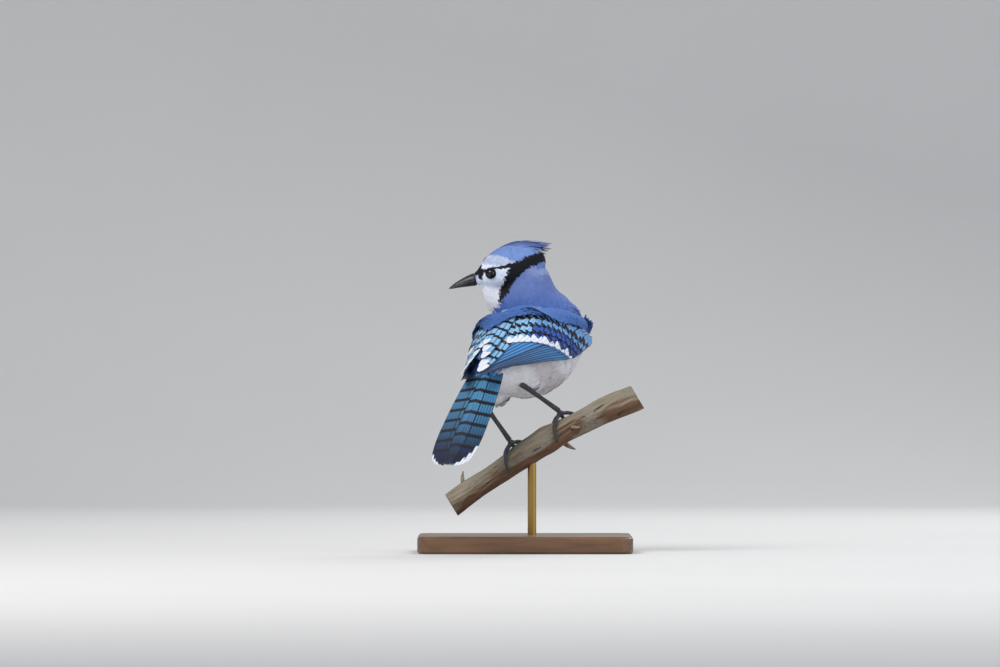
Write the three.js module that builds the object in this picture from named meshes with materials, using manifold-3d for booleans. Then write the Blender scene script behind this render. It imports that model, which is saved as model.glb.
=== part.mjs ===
// A life-size still model of a blue jay gripping a short length of branch, on a plain display stand.
// Millimetres, +Z up. The origin is the middle of the stand base's underside, and +Y is away from the
// side that the model is looked at from.
import * as THREE from "three";
import { mergeVertices } from "three/addons/utils/BufferGeometryUtils.js";
import Module from "manifold-3d";

const wasm = await Module();
wasm.setup();

// Driving dimensions
const GAP = 0.3;
const DEG = Math.PI / 180;

const BASE_LENGTH = 150;
const BASE_WIDTH = 120;
const BASE_HEIGHT = 12;
const ROD_RADIUS = 3;

const BRANCH_RADIUS = 8.6;
const BRANCH_SLOPE = 31 * DEG;
const BRANCH_BACK = -20;
const BRANCH_HEIGHT = 68.3;
const BRANCH_LOW_REACH = 62;
const BRANCH_HIGH_REACH = 88;

const TORSO_HEADING = 38 * DEG;
const TORSO_PITCH = 28 * DEG;
const TORSO_ROLL = 11 * DEG;
const TORSO_CENTRE = new THREE.Vector3(3, 0, 140);

const HEAD_CENTRE = new THREE.Vector3(-9, 18, 198);
const BILL_DROP = 13 * DEG;
const BILL_LENGTH = 19;
const EYE_RADIUS = 3.5;

const TAIL_ROOT = new THREE.Vector3(-26.7, -46.8, 126.6);
const TAIL_TIP = new THREE.Vector3(-54, -105, 62);
const TAIL_ROOT_WIDTH = 24;
const TAIL_TIP_WIDTH = 31;

const TOE_RADIUS = 1.5;
const TARSUS_RADIUS = 1.6;

const vec = (x, y, z) => new THREE.Vector3(x, y, z);

// A point moved by a sum of scaled directions
function offset(start, ...terms) {
  const place = start.clone();
  for (let i = 0; i < terms.length; i += 2) place.addScaledVector(terms[i], terms[i + 1]);
  return place;
}

// Directions forward, right and up for a heading from +Y towards +X, a pitch and a roll to the left
function frameOf(heading, pitch, roll) {
  const forward = vec(Math.sin(heading) * Math.cos(pitch), Math.cos(heading) * Math.cos(pitch), Math.sin(pitch));
  const level = vec(Math.cos(heading), -Math.sin(heading), 0);
  const raised = level.clone().cross(forward);
  const up = raised.clone().multiplyScalar(Math.cos(roll)).addScaledVector(level, -Math.sin(roll));
  const right = level.clone().multiplyScalar(Math.cos(roll)).addScaledVector(raised, Math.sin(roll));
  return { forward, right, up };
}

const TORSO = frameOf(TORSO_HEADING, TORSO_PITCH, TORSO_ROLL);
const HEAD = {
  forward: vec(-Math.cos(BILL_DROP), 0, -Math.sin(BILL_DROP)),
  right: vec(0, 1, 0),
  up: vec(-Math.sin(BILL_DROP), 0, Math.cos(BILL_DROP)),
};

// A closed mesh from rings of equal length, each with a fan to its middle at the two ends
function skinRings(rings) {
  const sides = rings[0].length;
  const points = [];
  rings.forEach((ring) => ring.forEach((p) => points.push(p.x, p.y, p.z)));
  const middle = (ring) => ring.reduce((sum, p) => sum.add(p), vec(0, 0, 0)).multiplyScalar(1 / sides);
  const first = middle(rings[0]);
  const last = middle(rings[rings.length - 1]);
  const firstIndex = rings.length * sides;
  points.push(first.x, first.y, first.z, last.x, last.y, last.z);
  const faces = [];
  for (let i = 0; i + 1 < rings.length; i++) {
    for (let j = 0; j < sides; j++) {
      const next = (j + 1) % sides;
      const a = i * sides + j;
      const b = i * sides + next;
      faces.push(a, b, b + sides, a, b + sides, a + sides);
    }
  }
  const end = (rings.length - 1) * sides;
  for (let j = 0; j < sides; j++) {
    const next = (j + 1) % sides;
    faces.push(firstIndex, next, j);
    faces.push(firstIndex + 1, end + j, end + next);
  }
  const geometry = new THREE.BufferGeometry();
  geometry.setAttribute("position", new THREE.Float32BufferAttribute(points, 3));
  geometry.setIndex(faces);
  return geometry;
}

// A closed geometry as a solid, turned right side out
function solid(geometry) {
  const bare = geometry.clone();
  bare.deleteAttribute("normal");
  bare.deleteAttribute("uv");
  const merged = mergeVertices(bare, 1e-4);
  const triVerts = new Uint32Array(merged.index.array);
  const make = () =>
    new wasm.Manifold(
      new wasm.Mesh({ numProp: 3, vertProperties: new Float32Array(merged.attributes.position.array), triVerts }),
    );
  const made = make();
  if (made.volume() > 0) return made;
  for (let i = 0; i < triVerts.length; i += 3) {
    [triVerts[i + 1], triVerts[i + 2]] = [triVerts[i + 2], triVerts[i + 1]];
  }
  return make();
}

// The largest closed surface of a solid, as a geometry
function largest(body) {
  const piece = body.decompose().sort((a, b) => b.volume() - a.volume())[0];
  const mesh = piece.getMesh();
  const points = [];
  for (let i = 0; i < mesh.numVert; i++) {
    points.push(...mesh.vertProperties.subarray(i * mesh.numProp, i * mesh.numProp + 3));
  }
  const geometry = new THREE.BufferGeometry();
  geometry.setAttribute("position", new THREE.Float32BufferAttribute(points, 3));
  geometry.setIndex(new THREE.BufferAttribute(new Uint32Array(mesh.triVerts), 1));
  geometry.computeVertexNormals();
  return geometry;
}

// An oval ring with its own half width, and half heights above and below
function ovalRing(station, sides, grow = 0) {
  const ring = [];
  for (let j = 0; j < sides; j++) {
    const angle = (2 * Math.PI * j) / sides;
    const rise = Math.cos(angle);
    const height = (rise > 0 ? station.above : station.below) + grow;
    ring.push(
      offset(station.at, station.right, Math.sin(angle) * (station.half + grow), station.up, rise * height),
    );
  }
  return ring;
}

const loftOf = (stations, sides, grow = 0) =>
  solid(skinRings(stations.map((station) => ovalRing(station, sides, grow))));

// Stations along a smooth line through named places, each with its sizes blended between them
function stationsAlong(places, count, from = 0, to = 1) {
  const line = new THREE.CatmullRomCurve3(
    places.map((place) => place.at),
    false,
    "centripetal",
  );
  const stations = [];
  for (let i = 0; i <= count; i++) {
    const along = from + ((to - from) * i) / count;
    const reach = along * (places.length - 1);
    const low = Math.min(Math.floor(reach), places.length - 2);
    const blend = reach - low;
    const before = places[Math.max(low - 1, 0)];
    const a = places[low];
    const b = places[low + 1];
    const after = places[Math.min(low + 2, places.length - 1)];
    const smooth = (key) => {
      const slopeA = (b[key] - before[key]) / 2;
      const slopeB = (after[key] - a[key]) / 2;
      const t = blend;
      return (
        (2 * t ** 3 - 3 * t ** 2 + 1) * a[key] +
        (t ** 3 - 2 * t ** 2 + t) * slopeA +
        (-2 * t ** 3 + 3 * t ** 2) * b[key] +
        (t ** 3 - t ** 2) * slopeB
      );
    };
    const tangent = line.getTangent(along);
    const wanted = a.right.clone().lerp(b.right, blend);
    const right = wanted.addScaledVector(tangent, -wanted.dot(tangent)).normalize();
    const up = right.clone().cross(tangent).normalize();
    stations.push({
      at: line.getPoint(along),
      right,
      up,
      tangent,
      half: smooth("half"),
      above: smooth("above"),
      below: smooth("below"),
    });
  }
  return stations;
}

// A thin feather vane from places along its shaft, each with its directions across and out of its face.
// Both faces are split along the same diagonals.
const VANE_THICKNESS = 0.6;

function vane(shaft) {
  const points = [];
  for (const spot of shaft) {
    for (const side of [1, -1]) {
      for (const across of [-1, 0, 1]) {
        const drop = across === 0 ? 0 : -spot.camber;
        const p = offset(spot.at, spot.across, across * spot.half, spot.out, drop + (side * VANE_THICKNESS) / 2);
        points.push(p.x, p.y, p.z);
      }
    }
  }
  const faces = [];
  const quad = (a, b, c, d) => faces.push(a, b, c, a, c, d);
  const last = (shaft.length - 1) * 6;
  for (let i = 0; i < last; i += 6) {
    for (const k of [0, 1]) {
      quad(i + k, i + k + 1, i + k + 7, i + k + 6);
      faces.push(i + k + 3, i + k + 10, i + k + 4, i + k + 3, i + k + 9, i + k + 10);
    }
    quad(i + 2, i + 5, i + 11, i + 8);
    quad(i + 3, i, i + 6, i + 9);
  }
  for (const k of [0, 1]) {
    quad(k, k + 3, k + 4, k + 1);
    quad(last + k, last + k + 1, last + k + 4, last + k + 3);
  }
  const geometry = new THREE.BufferGeometry();
  geometry.setAttribute("position", new THREE.Float32BufferAttribute(points, 3));
  geometry.setIndex(faces);
  return solid(geometry);
}

// The half width of a vane along its shaft, as a share of its widest
const vaneWidth = (share) => (share < 0.55 ? 0.72 + 0.28 * Math.sin((share / 0.55) * (Math.PI / 2)) : Math.sqrt(Math.max(1 - ((share - 0.55) / 0.49) ** 2, 0.1)));

const joined = (bodies) => wasm.Manifold.union(bodies);

// The body from the rump to the top of the neck: places along its spine and the sizes there
const NECK_RIGHT = vec(0.9, -0.42, 0.1);
const SPINE = [
  { at: vec(-30, -51, 120), right: TORSO.right, half: 8, above: 4, below: 8 },
  { at: vec(-24, -40, 127), right: TORSO.right, half: 15, above: 11, below: 16 },
  { at: vec(-14, -24, 132), right: TORSO.right, half: 25, above: 20, below: 23 },
  { at: vec(1, -3, 139), right: TORSO.right, half: 33, above: 30, below: 32 },
  { at: vec(10, 12, 152), right: TORSO.right, half: 33, above: 30, below: 31 },
  { at: vec(6, 17, 167), right: NECK_RIGHT, half: 28, above: 25, below: 26 },
  { at: vec(2.5, 18, 180), right: NECK_RIGHT, half: 22, above: 20, below: 20 },
  { at: vec(1, 18, 197), right: NECK_RIGHT, half: 15.5, above: 14.5, below: 15 },
];
// The throat, from the chin down to the front of the neck
const THROAT = [
  { at: vec(-27, 18, 186), right: vec(0, 1, 0), half: 6, above: 6, below: 5 },
  { at: vec(-21.5, 18, 180), right: vec(0, 1, 0), half: 9.8, above: 9.6, below: 9.6 },
  { at: vec(-12.5, 18, 174), right: vec(0, 1, 0), half: 13.6, above: 13.4, below: 13.4 },
  { at: vec(-2, 18, 168), right: vec(0, 1, 0), half: 15, above: 15, below: 15 },
];
const NECK_START = 0.79;
const NECK_END = 0.99;
const BODY_SIDES = 24;
const torsoStations = stationsAlong(SPINE, 16, 0, NECK_START);
const neckStations = stationsAlong(SPINE, 5, NECK_START, NECK_END);
const neckTop = neckStations[neckStations.length - 1];
neckStations.push({
  ...neckTop,
  at: offset(neckTop.at, neckTop.tangent, 4.5),
  half: neckTop.half * 0.62,
  above: neckTop.above * 0.62,
  below: neckTop.below * 0.62,
});

// Stations of a straight loft along a direction, from sizes at distances
function straightStations(start, frame, sizes) {
  return sizes.map(([reach, lift, half, above, below]) => ({
    at: offset(start, frame.forward, reach, frame.up, lift),
    right: frame.right,
    up: frame.up,
    half,
    above,
    below,
  }));
}

// Head: reach towards the bill, lift, half width, height above and below
const HEAD_SIZES = [
  [-23, 2, 5, 4, 5],
  [-21, 2, 9, 8, 8],
  [-15, 1, 13.5, 13, 12.5],
  [-7, 0, 15.2, 17, 15],
  [2, 0, 15.2, 18.2, 14.5],
  [10, 0, 14, 16.4, 12.5],
  [17, 0, 11.5, 12.4, 10.3],
  [23, -0.5, 8, 7.6, 7],
  [27, -1, 5.4, 4.6, 4.8],
];
const headStations = straightStations(HEAD_CENTRE, HEAD, HEAD_SIZES);

// Bill, with its root sunk between the feathers of the face
const BILL_ROOT = offset(HEAD_CENTRE, HEAD.forward, 27.4, HEAD.up, -1.4);
const UPPER_BILL = [
  [0, 4.3, 4.1],
  [0.25, 3.6, 3.7],
  [0.5, 2.8, 3],
  [0.75, 1.9, 2.1],
  [0.93, 0.9, 1],
  [1, 0.35, 0.4],
];
const LOWER_BILL = [
  [0, 3.9, 3.1],
  [0.3, 3.1, 2.4],
  [0.6, 2.1, 1.6],
  [0.85, 1.1, 0.8],
  [0.94, 0.4, 0.4],
];
const mouthLift = (share) => -2.2 * Math.pow(share, 2.2);

// One half of the bill, flat at the mouth line and round on its other side
function billHalf(sizes, side) {
  const rings = sizes.map(([share, half, height]) => {
    const at = offset(BILL_ROOT, HEAD.forward, share * BILL_LENGTH, HEAD.up, mouthLift(share));
    const ring = [];
    const arcs = 8;
    for (let j = 0; j <= arcs; j++) {
      const angle = (Math.PI * j) / arcs;
      ring.push(offset(at, HEAD.right, Math.cos(angle) * half, HEAD.up, side * (Math.sin(angle) * height + GAP / 2)));
    }
    return ring;
  });
  return solid(skinRings(rings));
}

const NOSTRIL_RADIUS = 0.55;

function nostril(side) {
  const ball = new THREE.SphereGeometry(NOSTRIL_RADIUS, 8, 6).scale(1.8, 1, 1);
  const at = offset(BILL_ROOT, HEAD.forward, 3.2, HEAD.right, side * 3.2, HEAD.up, 2.2);
  return solid(ball.translate(at.x, at.y, at.z));
}

function makeBill() {
  const upper = billHalf(UPPER_BILL, 1).subtract(nostril(1)).subtract(nostril(-1));
  return { bill_upper: upper, bill_lower: billHalf(LOWER_BILL, -1) };
}

// Eyes
const EYE_REACH = 15;
const EYE_LIFT = 0.6;
const EYE_SIDE = 9.6;
const eyePlace = (side) =>
  offset(HEAD_CENTRE, HEAD.forward, EYE_REACH, HEAD.right, side * EYE_SIDE, HEAD.up, EYE_LIFT);

function ballAt(place, radius, wide = 12, high = 8) {
  return solid(new THREE.SphereGeometry(radius, wide, high).translate(place.x, place.y, place.z));
}

// A ring of lid round the eye
function lid(side) {
  const ring = new THREE.TorusGeometry(EYE_RADIUS + 0.35, 0.75, 8, 20).rotateX(Math.PI / 2);
  const at = offset(eyePlace(side), HEAD.right, side * 1.9, HEAD.forward, -0.2);
  return solid(ring.translate(at.x, at.y, at.z));
}

// Crest feathers: side, reach and height of the root on the crown, then reach and height of the tip
const CREST = [];
for (const row of [
  { count: 6, half: 11, reach: 0, height: 10.5, tip: -23, tipHeight: 3.5, slant: 1.1 },
  { count: 5, half: 8.5, reach: 6, height: 13.2, tip: -27.5, tipHeight: 8, slant: 0.7 },
  { count: 5, half: 6, reach: 12, height: 13.6, tip: -31, tipHeight: 11.2, slant: 0.4 },
]) {
  for (let i = 0; i < row.count; i++) {
    const side = (2 * i) / (row.count - 1) - 1;
    CREST.push({ ...row, side, tip: row.tip + 3.5 * Math.abs(side) + 0.8 * Math.sin(7 * i + row.count) });
  }
}
const CREST_HALF_WIDTH = 2.8;
const CREST_BULGE = 6.6;

function crestFeather(row) {
  const shaft = [];
  const steps = 4;
  for (let i = 0; i <= steps; i++) {
    const share = i / steps;
    const across = row.half * row.side * (1 - 0.7 * share);
    const arch = CREST_BULGE * Math.sin(Math.PI * share) * (1 - 0.25 * Math.abs(row.side));
    const height = row.height + (row.tipHeight - row.height) * share + arch - 2.6 * Math.abs(row.side) * (1 - share);
    const out = offset(HEAD.up.clone(), HEAD.right, row.slant * row.side).normalize();
    shaft.push({
      at: offset(HEAD_CENTRE, HEAD.forward, row.reach + (row.tip - row.reach) * share, HEAD.right, across, HEAD.up, height),
      across: HEAD.right.clone().addScaledVector(out, -HEAD.right.dot(out)).normalize(),
      out,
      half: CREST_HALF_WIDTH * (share === 1 ? 0.2 : vaneWidth(share * 0.9)),
      camber: 0.3,
    });
  }
  return vane(shaft);
}

function makeHead(bill) {
  let head = loftOf(headStations, 22);
  head = joined([head, ...CREST.map(crestFeather)]);
  for (const side of [-1, 1]) {
    head = head.add(lid(side));
    head = head.subtract(ballAt(eyePlace(side), EYE_RADIUS + GAP));
  }
  for (const half of Object.values(bill)) head = head.subtract(half);
  return head;
}

// The wings lie on a carrier, a body-shaped surface that runs on over the root of the tail
const CARRIER = [
  { at: vec(14, 18, 152), right: TORSO.right, half: 34, above: 31, below: 31 },
  { at: vec(8, 7, 146), right: TORSO.right, half: 35.5, above: 32, below: 31 },
  { at: vec(1, -4, 139), right: TORSO.right, half: 35.5, above: 31.5, below: 31 },
  { at: vec(-7, -18, 133), right: TORSO.right, half: 32.5, above: 27.5, below: 28 },
  { at: vec(-16, -34, 126), right: TORSO.right, half: 26, above: 21.5, below: 22 },
  { at: vec(-25, -50, 119), right: TORSO.right, half: 19, above: 16, below: 16 },
  { at: vec(-35, -67, 111.5), right: TORSO.right, half: 12, above: 12, below: 12 },
];
const CARRIER_STEPS = 60;
const carrierStations = stationsAlong(CARRIER.toReversed(), CARRIER_STEPS);

// A place on the carrier: how far along, the angle from the back towards the side, and how far off it
function onCarrier(along, angle, lift) {
  const reach = (1 - Math.min(Math.max(along, 0), 1)) * CARRIER_STEPS;
  const low = Math.min(Math.floor(reach), CARRIER_STEPS - 1);
  const blend = reach - low;
  const at = (station) => {
    const rise = Math.cos(angle);
    const height = (rise > 0 ? station.above : station.below) + lift;
    return offset(station.at, station.right, Math.sin(angle) * (station.half + lift), station.up, rise * height);
  };
  return at(carrierStations[low]).lerp(at(carrierStations[low + 1]), blend);
}

// The wing's lower edge angle and the place where its front edge starts, in degrees and shares along
const lowerEdge = (along) => 120 - 78 * along * along - 12 * Math.pow(1 - along, 10);
const frontEdge = (angle) => 0.05 + 0.48 * Math.pow(Math.max(1 - angle / 112, 0), 0.8);

// Feathers of one wing, from its lower edge to the back. Each has its start and end along the wing, its
// angle there, its half width and how far it lies off the carrier at root and tip.
const WING_FEATHERS = [];
const PRIMARY_ENDS = [0.82, 0.95, 1, 0.95];
PRIMARY_ENDS.forEach((end, i) => {
  const inset = (along) => (5.5 + 7.6 * i) * (1 - 0.25 * along);
  WING_FEATHERS.push({ from: 0.16, to: end, angle: (along) => lowerEdge(along) - inset(along), half: 5.4, lift: 0.2 + 0.45 * i, rise: 0 });
});
const SECONDARY_COUNT = 3;
for (let i = 0; i < SECONDARY_COUNT; i++) {
  const inset = (along) => (38 + 15 * i) * (1 - 0.28 * along);
  WING_FEATHERS.push({ from: 0.3, to: 0.92 - 0.015 * i, angle: (along) => Math.max(lowerEdge(along) - inset(along), 25), half: 6.8, lift: 2.1 + 0.45 * i, rise: 0 });
}
const TERTIAL_ENDS = [0.98, 0.94, 0.88];
TERTIAL_ENDS.forEach((end, i) => {
  WING_FEATHERS.push({ from: 0.46, to: end, angle: (along) => 20 - 6 * i - 6 * Math.max(along - 0.6, 0), half: 6.2 - 0.4 * i, lift: 3.5 + 0.4 * i, rise: 0, over: 1.7 });
});
for (const row of [
  { count: 6, from: 0.14, to: 0.32, half: 7.6, lift: 3.3, low: 105, high: 24 },
  { count: 6, from: 0.07, to: 0.21, half: 7.6, lift: 3.9, low: 107, high: 18 },
  { count: 5, from: 0, to: 0.12, half: 8.6, lift: 4.3, low: 106, high: 18 },
]) {
  for (let i = 0; i < row.count; i++) {
    const angle = row.low + ((row.high - row.low) * i) / (row.count - 1);
    const start = frontEdge(angle) + row.from;
    const end = frontEdge(angle) + row.to;
    WING_FEATHERS.push({ from: start, to: end, angle: (along) => angle - 22 * (along - start), half: row.half, lift: row.lift + 0.12 * (i % 2), rise: 0.4, short: true });
  }
}

function wingFeather(side, feather) {
  const steps = feather.short ? 2 : 3;
  const shaft = [];
  for (let i = 0; i <= steps; i++) {
    const share = i / steps;
    const along = feather.from + (feather.to - feather.from) * share;
    const extra = side > 0 ? (feather.over ?? 0) : 0;
    const spot = (s) => onCarrier(s, side * feather.angle(s) * DEG, feather.lift + feather.rise * share + extra);
    const at = spot(along);
    const ahead = spot(along + 0.01).sub(spot(along - 0.01)).normalize();
    const higher = onCarrier(along, side * feather.angle(along) * DEG, feather.lift + 5);
    const out = higher.sub(at);
    out.addScaledVector(ahead, -out.dot(ahead)).normalize();
    const half = feather.half * vaneWidth(share) * (feather.short ? 1 : 1 - 0.25 * share);
    shaft.push({ at, across: ahead.clone().cross(out).normalize(), out, half, camber: (half * half) / 60 });
  }
  return vane(shaft);
}

// The arm under the feathers, a plate on the carrier from the front edge back
const ARM_STEPS = 7;
const ARM_ACROSS = 10;
const ARM_LIFT = 3.4;

function wingArm(side) {
  const rings = [];
  for (let i = 0; i <= ARM_ACROSS; i++) {
    const angle = 6 + (104 * i) / ARM_ACROSS;
    const ring = [];
    for (const face of [1, 0]) {
      for (let j = 0; j <= ARM_STEPS; j++) {
        const share = face ? j / ARM_STEPS : 1 - j / ARM_STEPS;
        const along = frontEdge(angle) + 0.3 * share;
        const edge = Math.sqrt(Math.sin(Math.PI * (0.04 + 0.86 * share)));
        ring.push(onCarrier(along, side * angle * DEG, face ? ARM_LIFT * edge : -0.6));
      }
    }
    rings.push(ring);
  }
  return solid(skinRings(rings));
}

const makeWing = (side) => joined([wingArm(side), ...WING_FEATHERS.map((feather) => wingFeather(side, feather))]);

// The tail's own directions
const TAIL_DIRECTION = TAIL_TIP.clone().sub(TAIL_ROOT).normalize();
const TAIL_LENGTH = TAIL_TIP.clone().sub(TAIL_ROOT).length();
const TAIL_RIGHT = vec(0.93, -0.36, 0)
  .addScaledVector(TAIL_DIRECTION, -vec(0.93, -0.36, 0).dot(TAIL_DIRECTION))
  .normalize();
const TAIL_UP = TAIL_DIRECTION.clone().cross(TAIL_RIGHT).normalize();
const TAIL_FRAME = { forward: TAIL_DIRECTION, right: TAIL_RIGHT, up: TAIL_UP };
const TAIL_THICKNESS = 2.6;
const TAIL_PAIRS = 5;
const TAIL_FEATHER_HALF = 6;
const TAIL_COVERTS = 2;

// A tail feather at a share out from the middle, on a given side, of a given length
function tailFeather(side, out, length, lift, half) {
  const shaft = [];
  const steps = 4;
  const spread = (TAIL_TIP_WIDTH / 2 - 5.4) * out;
  for (let i = 0; i <= steps; i++) {
    const share = i / steps;
    const across = side * (1.2 + spread * (0.72 + 0.28 * Math.sqrt(share)));
    shaft.push({
      at: offset(TAIL_ROOT, TAIL_DIRECTION, length * share + 0.2, TAIL_RIGHT, across, TAIL_UP, lift),
      across: TAIL_RIGHT,
      out: TAIL_UP,
      half: half * vaneWidth(share) * (0.8 + 0.2 * share),
      camber: 0,
    });
  }
  return vane(shaft);
}

function makeTail() {
  const feathers = [];
  for (const side of [-1, 1]) {
    for (let i = 0; i < TAIL_PAIRS; i++) {
      const out = i / (TAIL_PAIRS - 1);
      const length = TAIL_LENGTH - 5 * out * out * out;
      const lift = 1 - 0.5 * i - (side < 0 ? 0.25 : 0);
      feathers.push(tailFeather(side, out, length, lift, TAIL_FEATHER_HALF));
    }
    for (let i = 0; i < TAIL_COVERTS; i++) {
      feathers.push(tailFeather(side, 0.2 + 0.4 * i, 26 - 5 * i, 1.7 - 0.25 * i, 4));
    }
  }
  const root = straightStations(TAIL_ROOT, TAIL_FRAME, [
    [0, -0.4, TAIL_ROOT_WIDTH / 2, 1.9, 1.9],
    [8, -0.4, TAIL_ROOT_WIDTH / 2, 1.4, 1.6],
    [16, -0.2, TAIL_ROOT_WIDTH / 2, 0.8, 0.9],
  ]);
  return joined([loftOf(root, 12), ...feathers]);
}

// The room over the tail's underside and behind its root, which the body keeps out of
function tailBlock() {
  const width = 60;
  const height = 40;
  const block = new THREE.BoxGeometry(width, height, TAIL_LENGTH + GAP);
  block.translate(0, height / 2 - TAIL_THICKNESS - GAP, TAIL_LENGTH / 2 - GAP);
  const turn = new THREE.Matrix4().makeBasis(TAIL_RIGHT, TAIL_UP, TAIL_RIGHT.clone().cross(TAIL_UP));
  const inward = TAIL_RIGHT.clone().cross(TAIL_UP).dot(TAIL_DIRECTION) < 0;
  if (inward) block.scale(1, 1, -1);
  block.applyMatrix4(turn);
  return solid(block.translate(TAIL_ROOT.x, TAIL_ROOT.y, TAIL_ROOT.z));
}

// Long white feathers under the root of the tail
const UNDERTAIL = [
  { at: vec(-27, -44, 121), right: TORSO.right, half: 11, above: 7, below: 12 },
  { at: vec(-34, -56, 108), right: TAIL_RIGHT, half: 11, above: 4, below: 8 },
  { at: vec(-40, -68, 93), right: TAIL_RIGHT, half: 8, above: 3, below: 4 },
  { at: vec(-44, -76, 83), right: TAIL_RIGHT, half: 4, above: 1.5, below: 1.5 },
];

// Branch: its own line, up direction and slow swellings
const BRANCH_ALONG = vec(Math.cos(BRANCH_SLOPE), 0, Math.sin(BRANCH_SLOPE));
const BRANCH_UP = vec(-Math.sin(BRANCH_SLOPE), 0, Math.cos(BRANCH_SLOPE));
const BRANCH_OUT = vec(0, 1, 0);
const BRANCH_MIDDLE = vec(0, BRANCH_BACK, BRANCH_HEIGHT);
const BRANCH_SIDES = 14;
const BRANCH_STEPS = 18;

const branchSag = (reach) => 1.1 * Math.sin((reach + 10) / 24) - 0.0006 * reach * reach;

function branchPoint(reach, angle, radius) {
  const middle = offset(BRANCH_MIDDLE, BRANCH_ALONG, reach, BRANCH_UP, branchSag(reach));
  return offset(middle, BRANCH_UP, Math.cos(angle) * radius, BRANCH_OUT, Math.sin(angle) * radius);
}

function branchRadius(reach, angle) {
  const swelling = 0.5 * Math.sin(reach / 11 + 1) + 0.9 * Math.exp(-(((reach - 19) / 7) ** 2));
  const ridges = 0.3 * Math.sin(3 * angle + reach / 9) + 0.2 * Math.sin(5 * angle - reach / 6);
  return BRANCH_RADIUS + swelling + ridges + reach * 0.006;
}

function branchBody(grow = 0) {
  const rings = [];
  for (let i = 0; i <= BRANCH_STEPS; i++) {
    const reach = -BRANCH_LOW_REACH + ((BRANCH_LOW_REACH + BRANCH_HIGH_REACH) * i) / BRANCH_STEPS;
    const ring = [];
    for (let j = 0; j < BRANCH_SIDES; j++) {
      const angle = (2 * Math.PI * j) / BRANCH_SIDES;
      ring.push(branchPoint(reach, angle, branchRadius(reach, angle) + grow));
    }
    rings.push(ring);
  }
  return solid(skinRings(rings));
}

// A tapered round bar along a smooth line of places, with a radius at each place
function taperedBar(places, radii, sides, steps) {
  const stations = places.map((at, i) => ({ at, right: vec(0.2, -0.9, 0.3), half: radii[i], above: radii[i], below: radii[i] }));
  return loftOf(stationsAlong(stations, steps), sides);
}

// Broken side shoots on the branch: where along it, the angle round it, length and radius
const STUBS = [
  [27, 150 * DEG, 9, 1.6],
  [38, -100 * DEG, 12, 1.7],
  [-48, 20 * DEG, 7, 1.3],
];

function makeBranch() {
  let branch = branchBody();
  for (const [reach, angle, length, radius] of STUBS) {
    const root = branchPoint(reach, angle, BRANCH_RADIUS - 3);
    const middle = branchPoint(reach + 2, angle, BRANCH_RADIUS + length * 0.4);
    const tip = branchPoint(reach + 5, angle, BRANCH_RADIUS + length);
    branch = branch.add(taperedBar([root, middle, tip], [radius * 1.3, radius, radius * 0.3], 7, 5));
  }
  return branch;
}

// Legs: heel and hip of each, and its foot's reach along the branch
const LEGS = {
  right: { heel: vec(-3.5, -36, 118.5), hip: vec(6, -20, 124), reach: 36 },
  left: { heel: vec(-29, -34, 104.5), hip: vec(-17, -16, 117), reach: -4 },
};
const FOOT_LIFT = 2.6;
const TOES = [
  { turn: -16, span: 112, end: 0.95 },
  { turn: 0, span: 124, end: 1 },
  { turn: 15, span: 112, end: 0.95 },
  { turn: -15, span: -118, end: 1.05 },
];

const footPlace = (leg) => branchPoint(leg.reach, 0, BRANCH_RADIUS + FOOT_LIFT + 1.2);

function makeFoot(leg) {
  const hub = footPlace(leg);
  let foot = ballAt(offset(hub, BRANCH_UP, -0.6), TOE_RADIUS * 1.7, 12, 8);
  for (const toe of TOES) {
    const places = [];
    const radii = [];
    const steps = 6;
    for (let i = 0; i <= steps; i++) {
      const share = i / steps;
      const angle = toe.span * share * DEG;
      const reach = leg.reach + toe.turn * Math.sin((share * Math.PI) / 2) * 0.8;
      const height = BRANCH_RADIUS + TOE_RADIUS + 1.3 - 0.5 * share;
      places.push(branchPoint(reach, angle, height));
      radii.push(TOE_RADIUS * (share > 0.8 ? 0.35 + (1 - share) * 2 : 1 - 0.25 * share));
    }
    foot = foot.add(taperedBar(places, radii, 6, 8));
  }
  return foot.subtract(branchBody(GAP));
}

function makeTarsus(leg) {
  const foot = offset(footPlace(leg), BRANCH_UP, TOE_RADIUS * 1.3);
  const middle = leg.heel.clone().lerp(foot, 0.5);
  return taperedBar([leg.heel, middle, foot], [TARSUS_RADIUS * 1.35, TARSUS_RADIUS, TARSUS_RADIUS * 1.2], 10, 8);
}

function makeThigh(leg) {
  const stations = [
    { at: leg.hip, right: TORSO.right, half: 13, above: 12, below: 12 },
    { at: leg.hip.clone().lerp(leg.heel, 0.45), right: TORSO.right, half: 10, above: 9, below: 9 },
    { at: leg.hip.clone().lerp(leg.heel, 0.8), right: TORSO.right, half: 5.2, above: 5, below: 5 },
    { at: leg.hip.clone().lerp(leg.heel, 1.06), right: TORSO.right, half: 2.6, above: 2.6, below: 2.6 },
  ];
  return loftOf(stationsAlong(stations, 8), 14);
}

// Stand
function makeBase() {
  const outline = new THREE.Shape();
  const half = vec(BASE_LENGTH / 2, BASE_WIDTH / 2, 0);
  const corner = 10;
  outline.moveTo(-half.x + corner, -half.y);
  outline.lineTo(half.x - corner, -half.y);
  outline.absarc(half.x - corner, -half.y + corner, corner, -Math.PI / 2, 0);
  outline.absarc(half.x - corner, half.y - corner, corner, 0, Math.PI / 2);
  outline.absarc(-half.x + corner, half.y - corner, corner, Math.PI / 2, Math.PI);
  outline.absarc(-half.x + corner, -half.y + corner, corner, Math.PI, 1.5 * Math.PI);
  const bevel = 1.5;
  const slab = new THREE.ExtrudeGeometry(outline, {
    depth: BASE_HEIGHT - 2 * bevel,
    bevelThickness: bevel,
    bevelSize: bevel,
    bevelOffset: -bevel,
    bevelSegments: 1,
    curveSegments: 3,
  });
  return solid(slab.translate(0, 0, bevel));
}

const ROD_REACH = 6;

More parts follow.
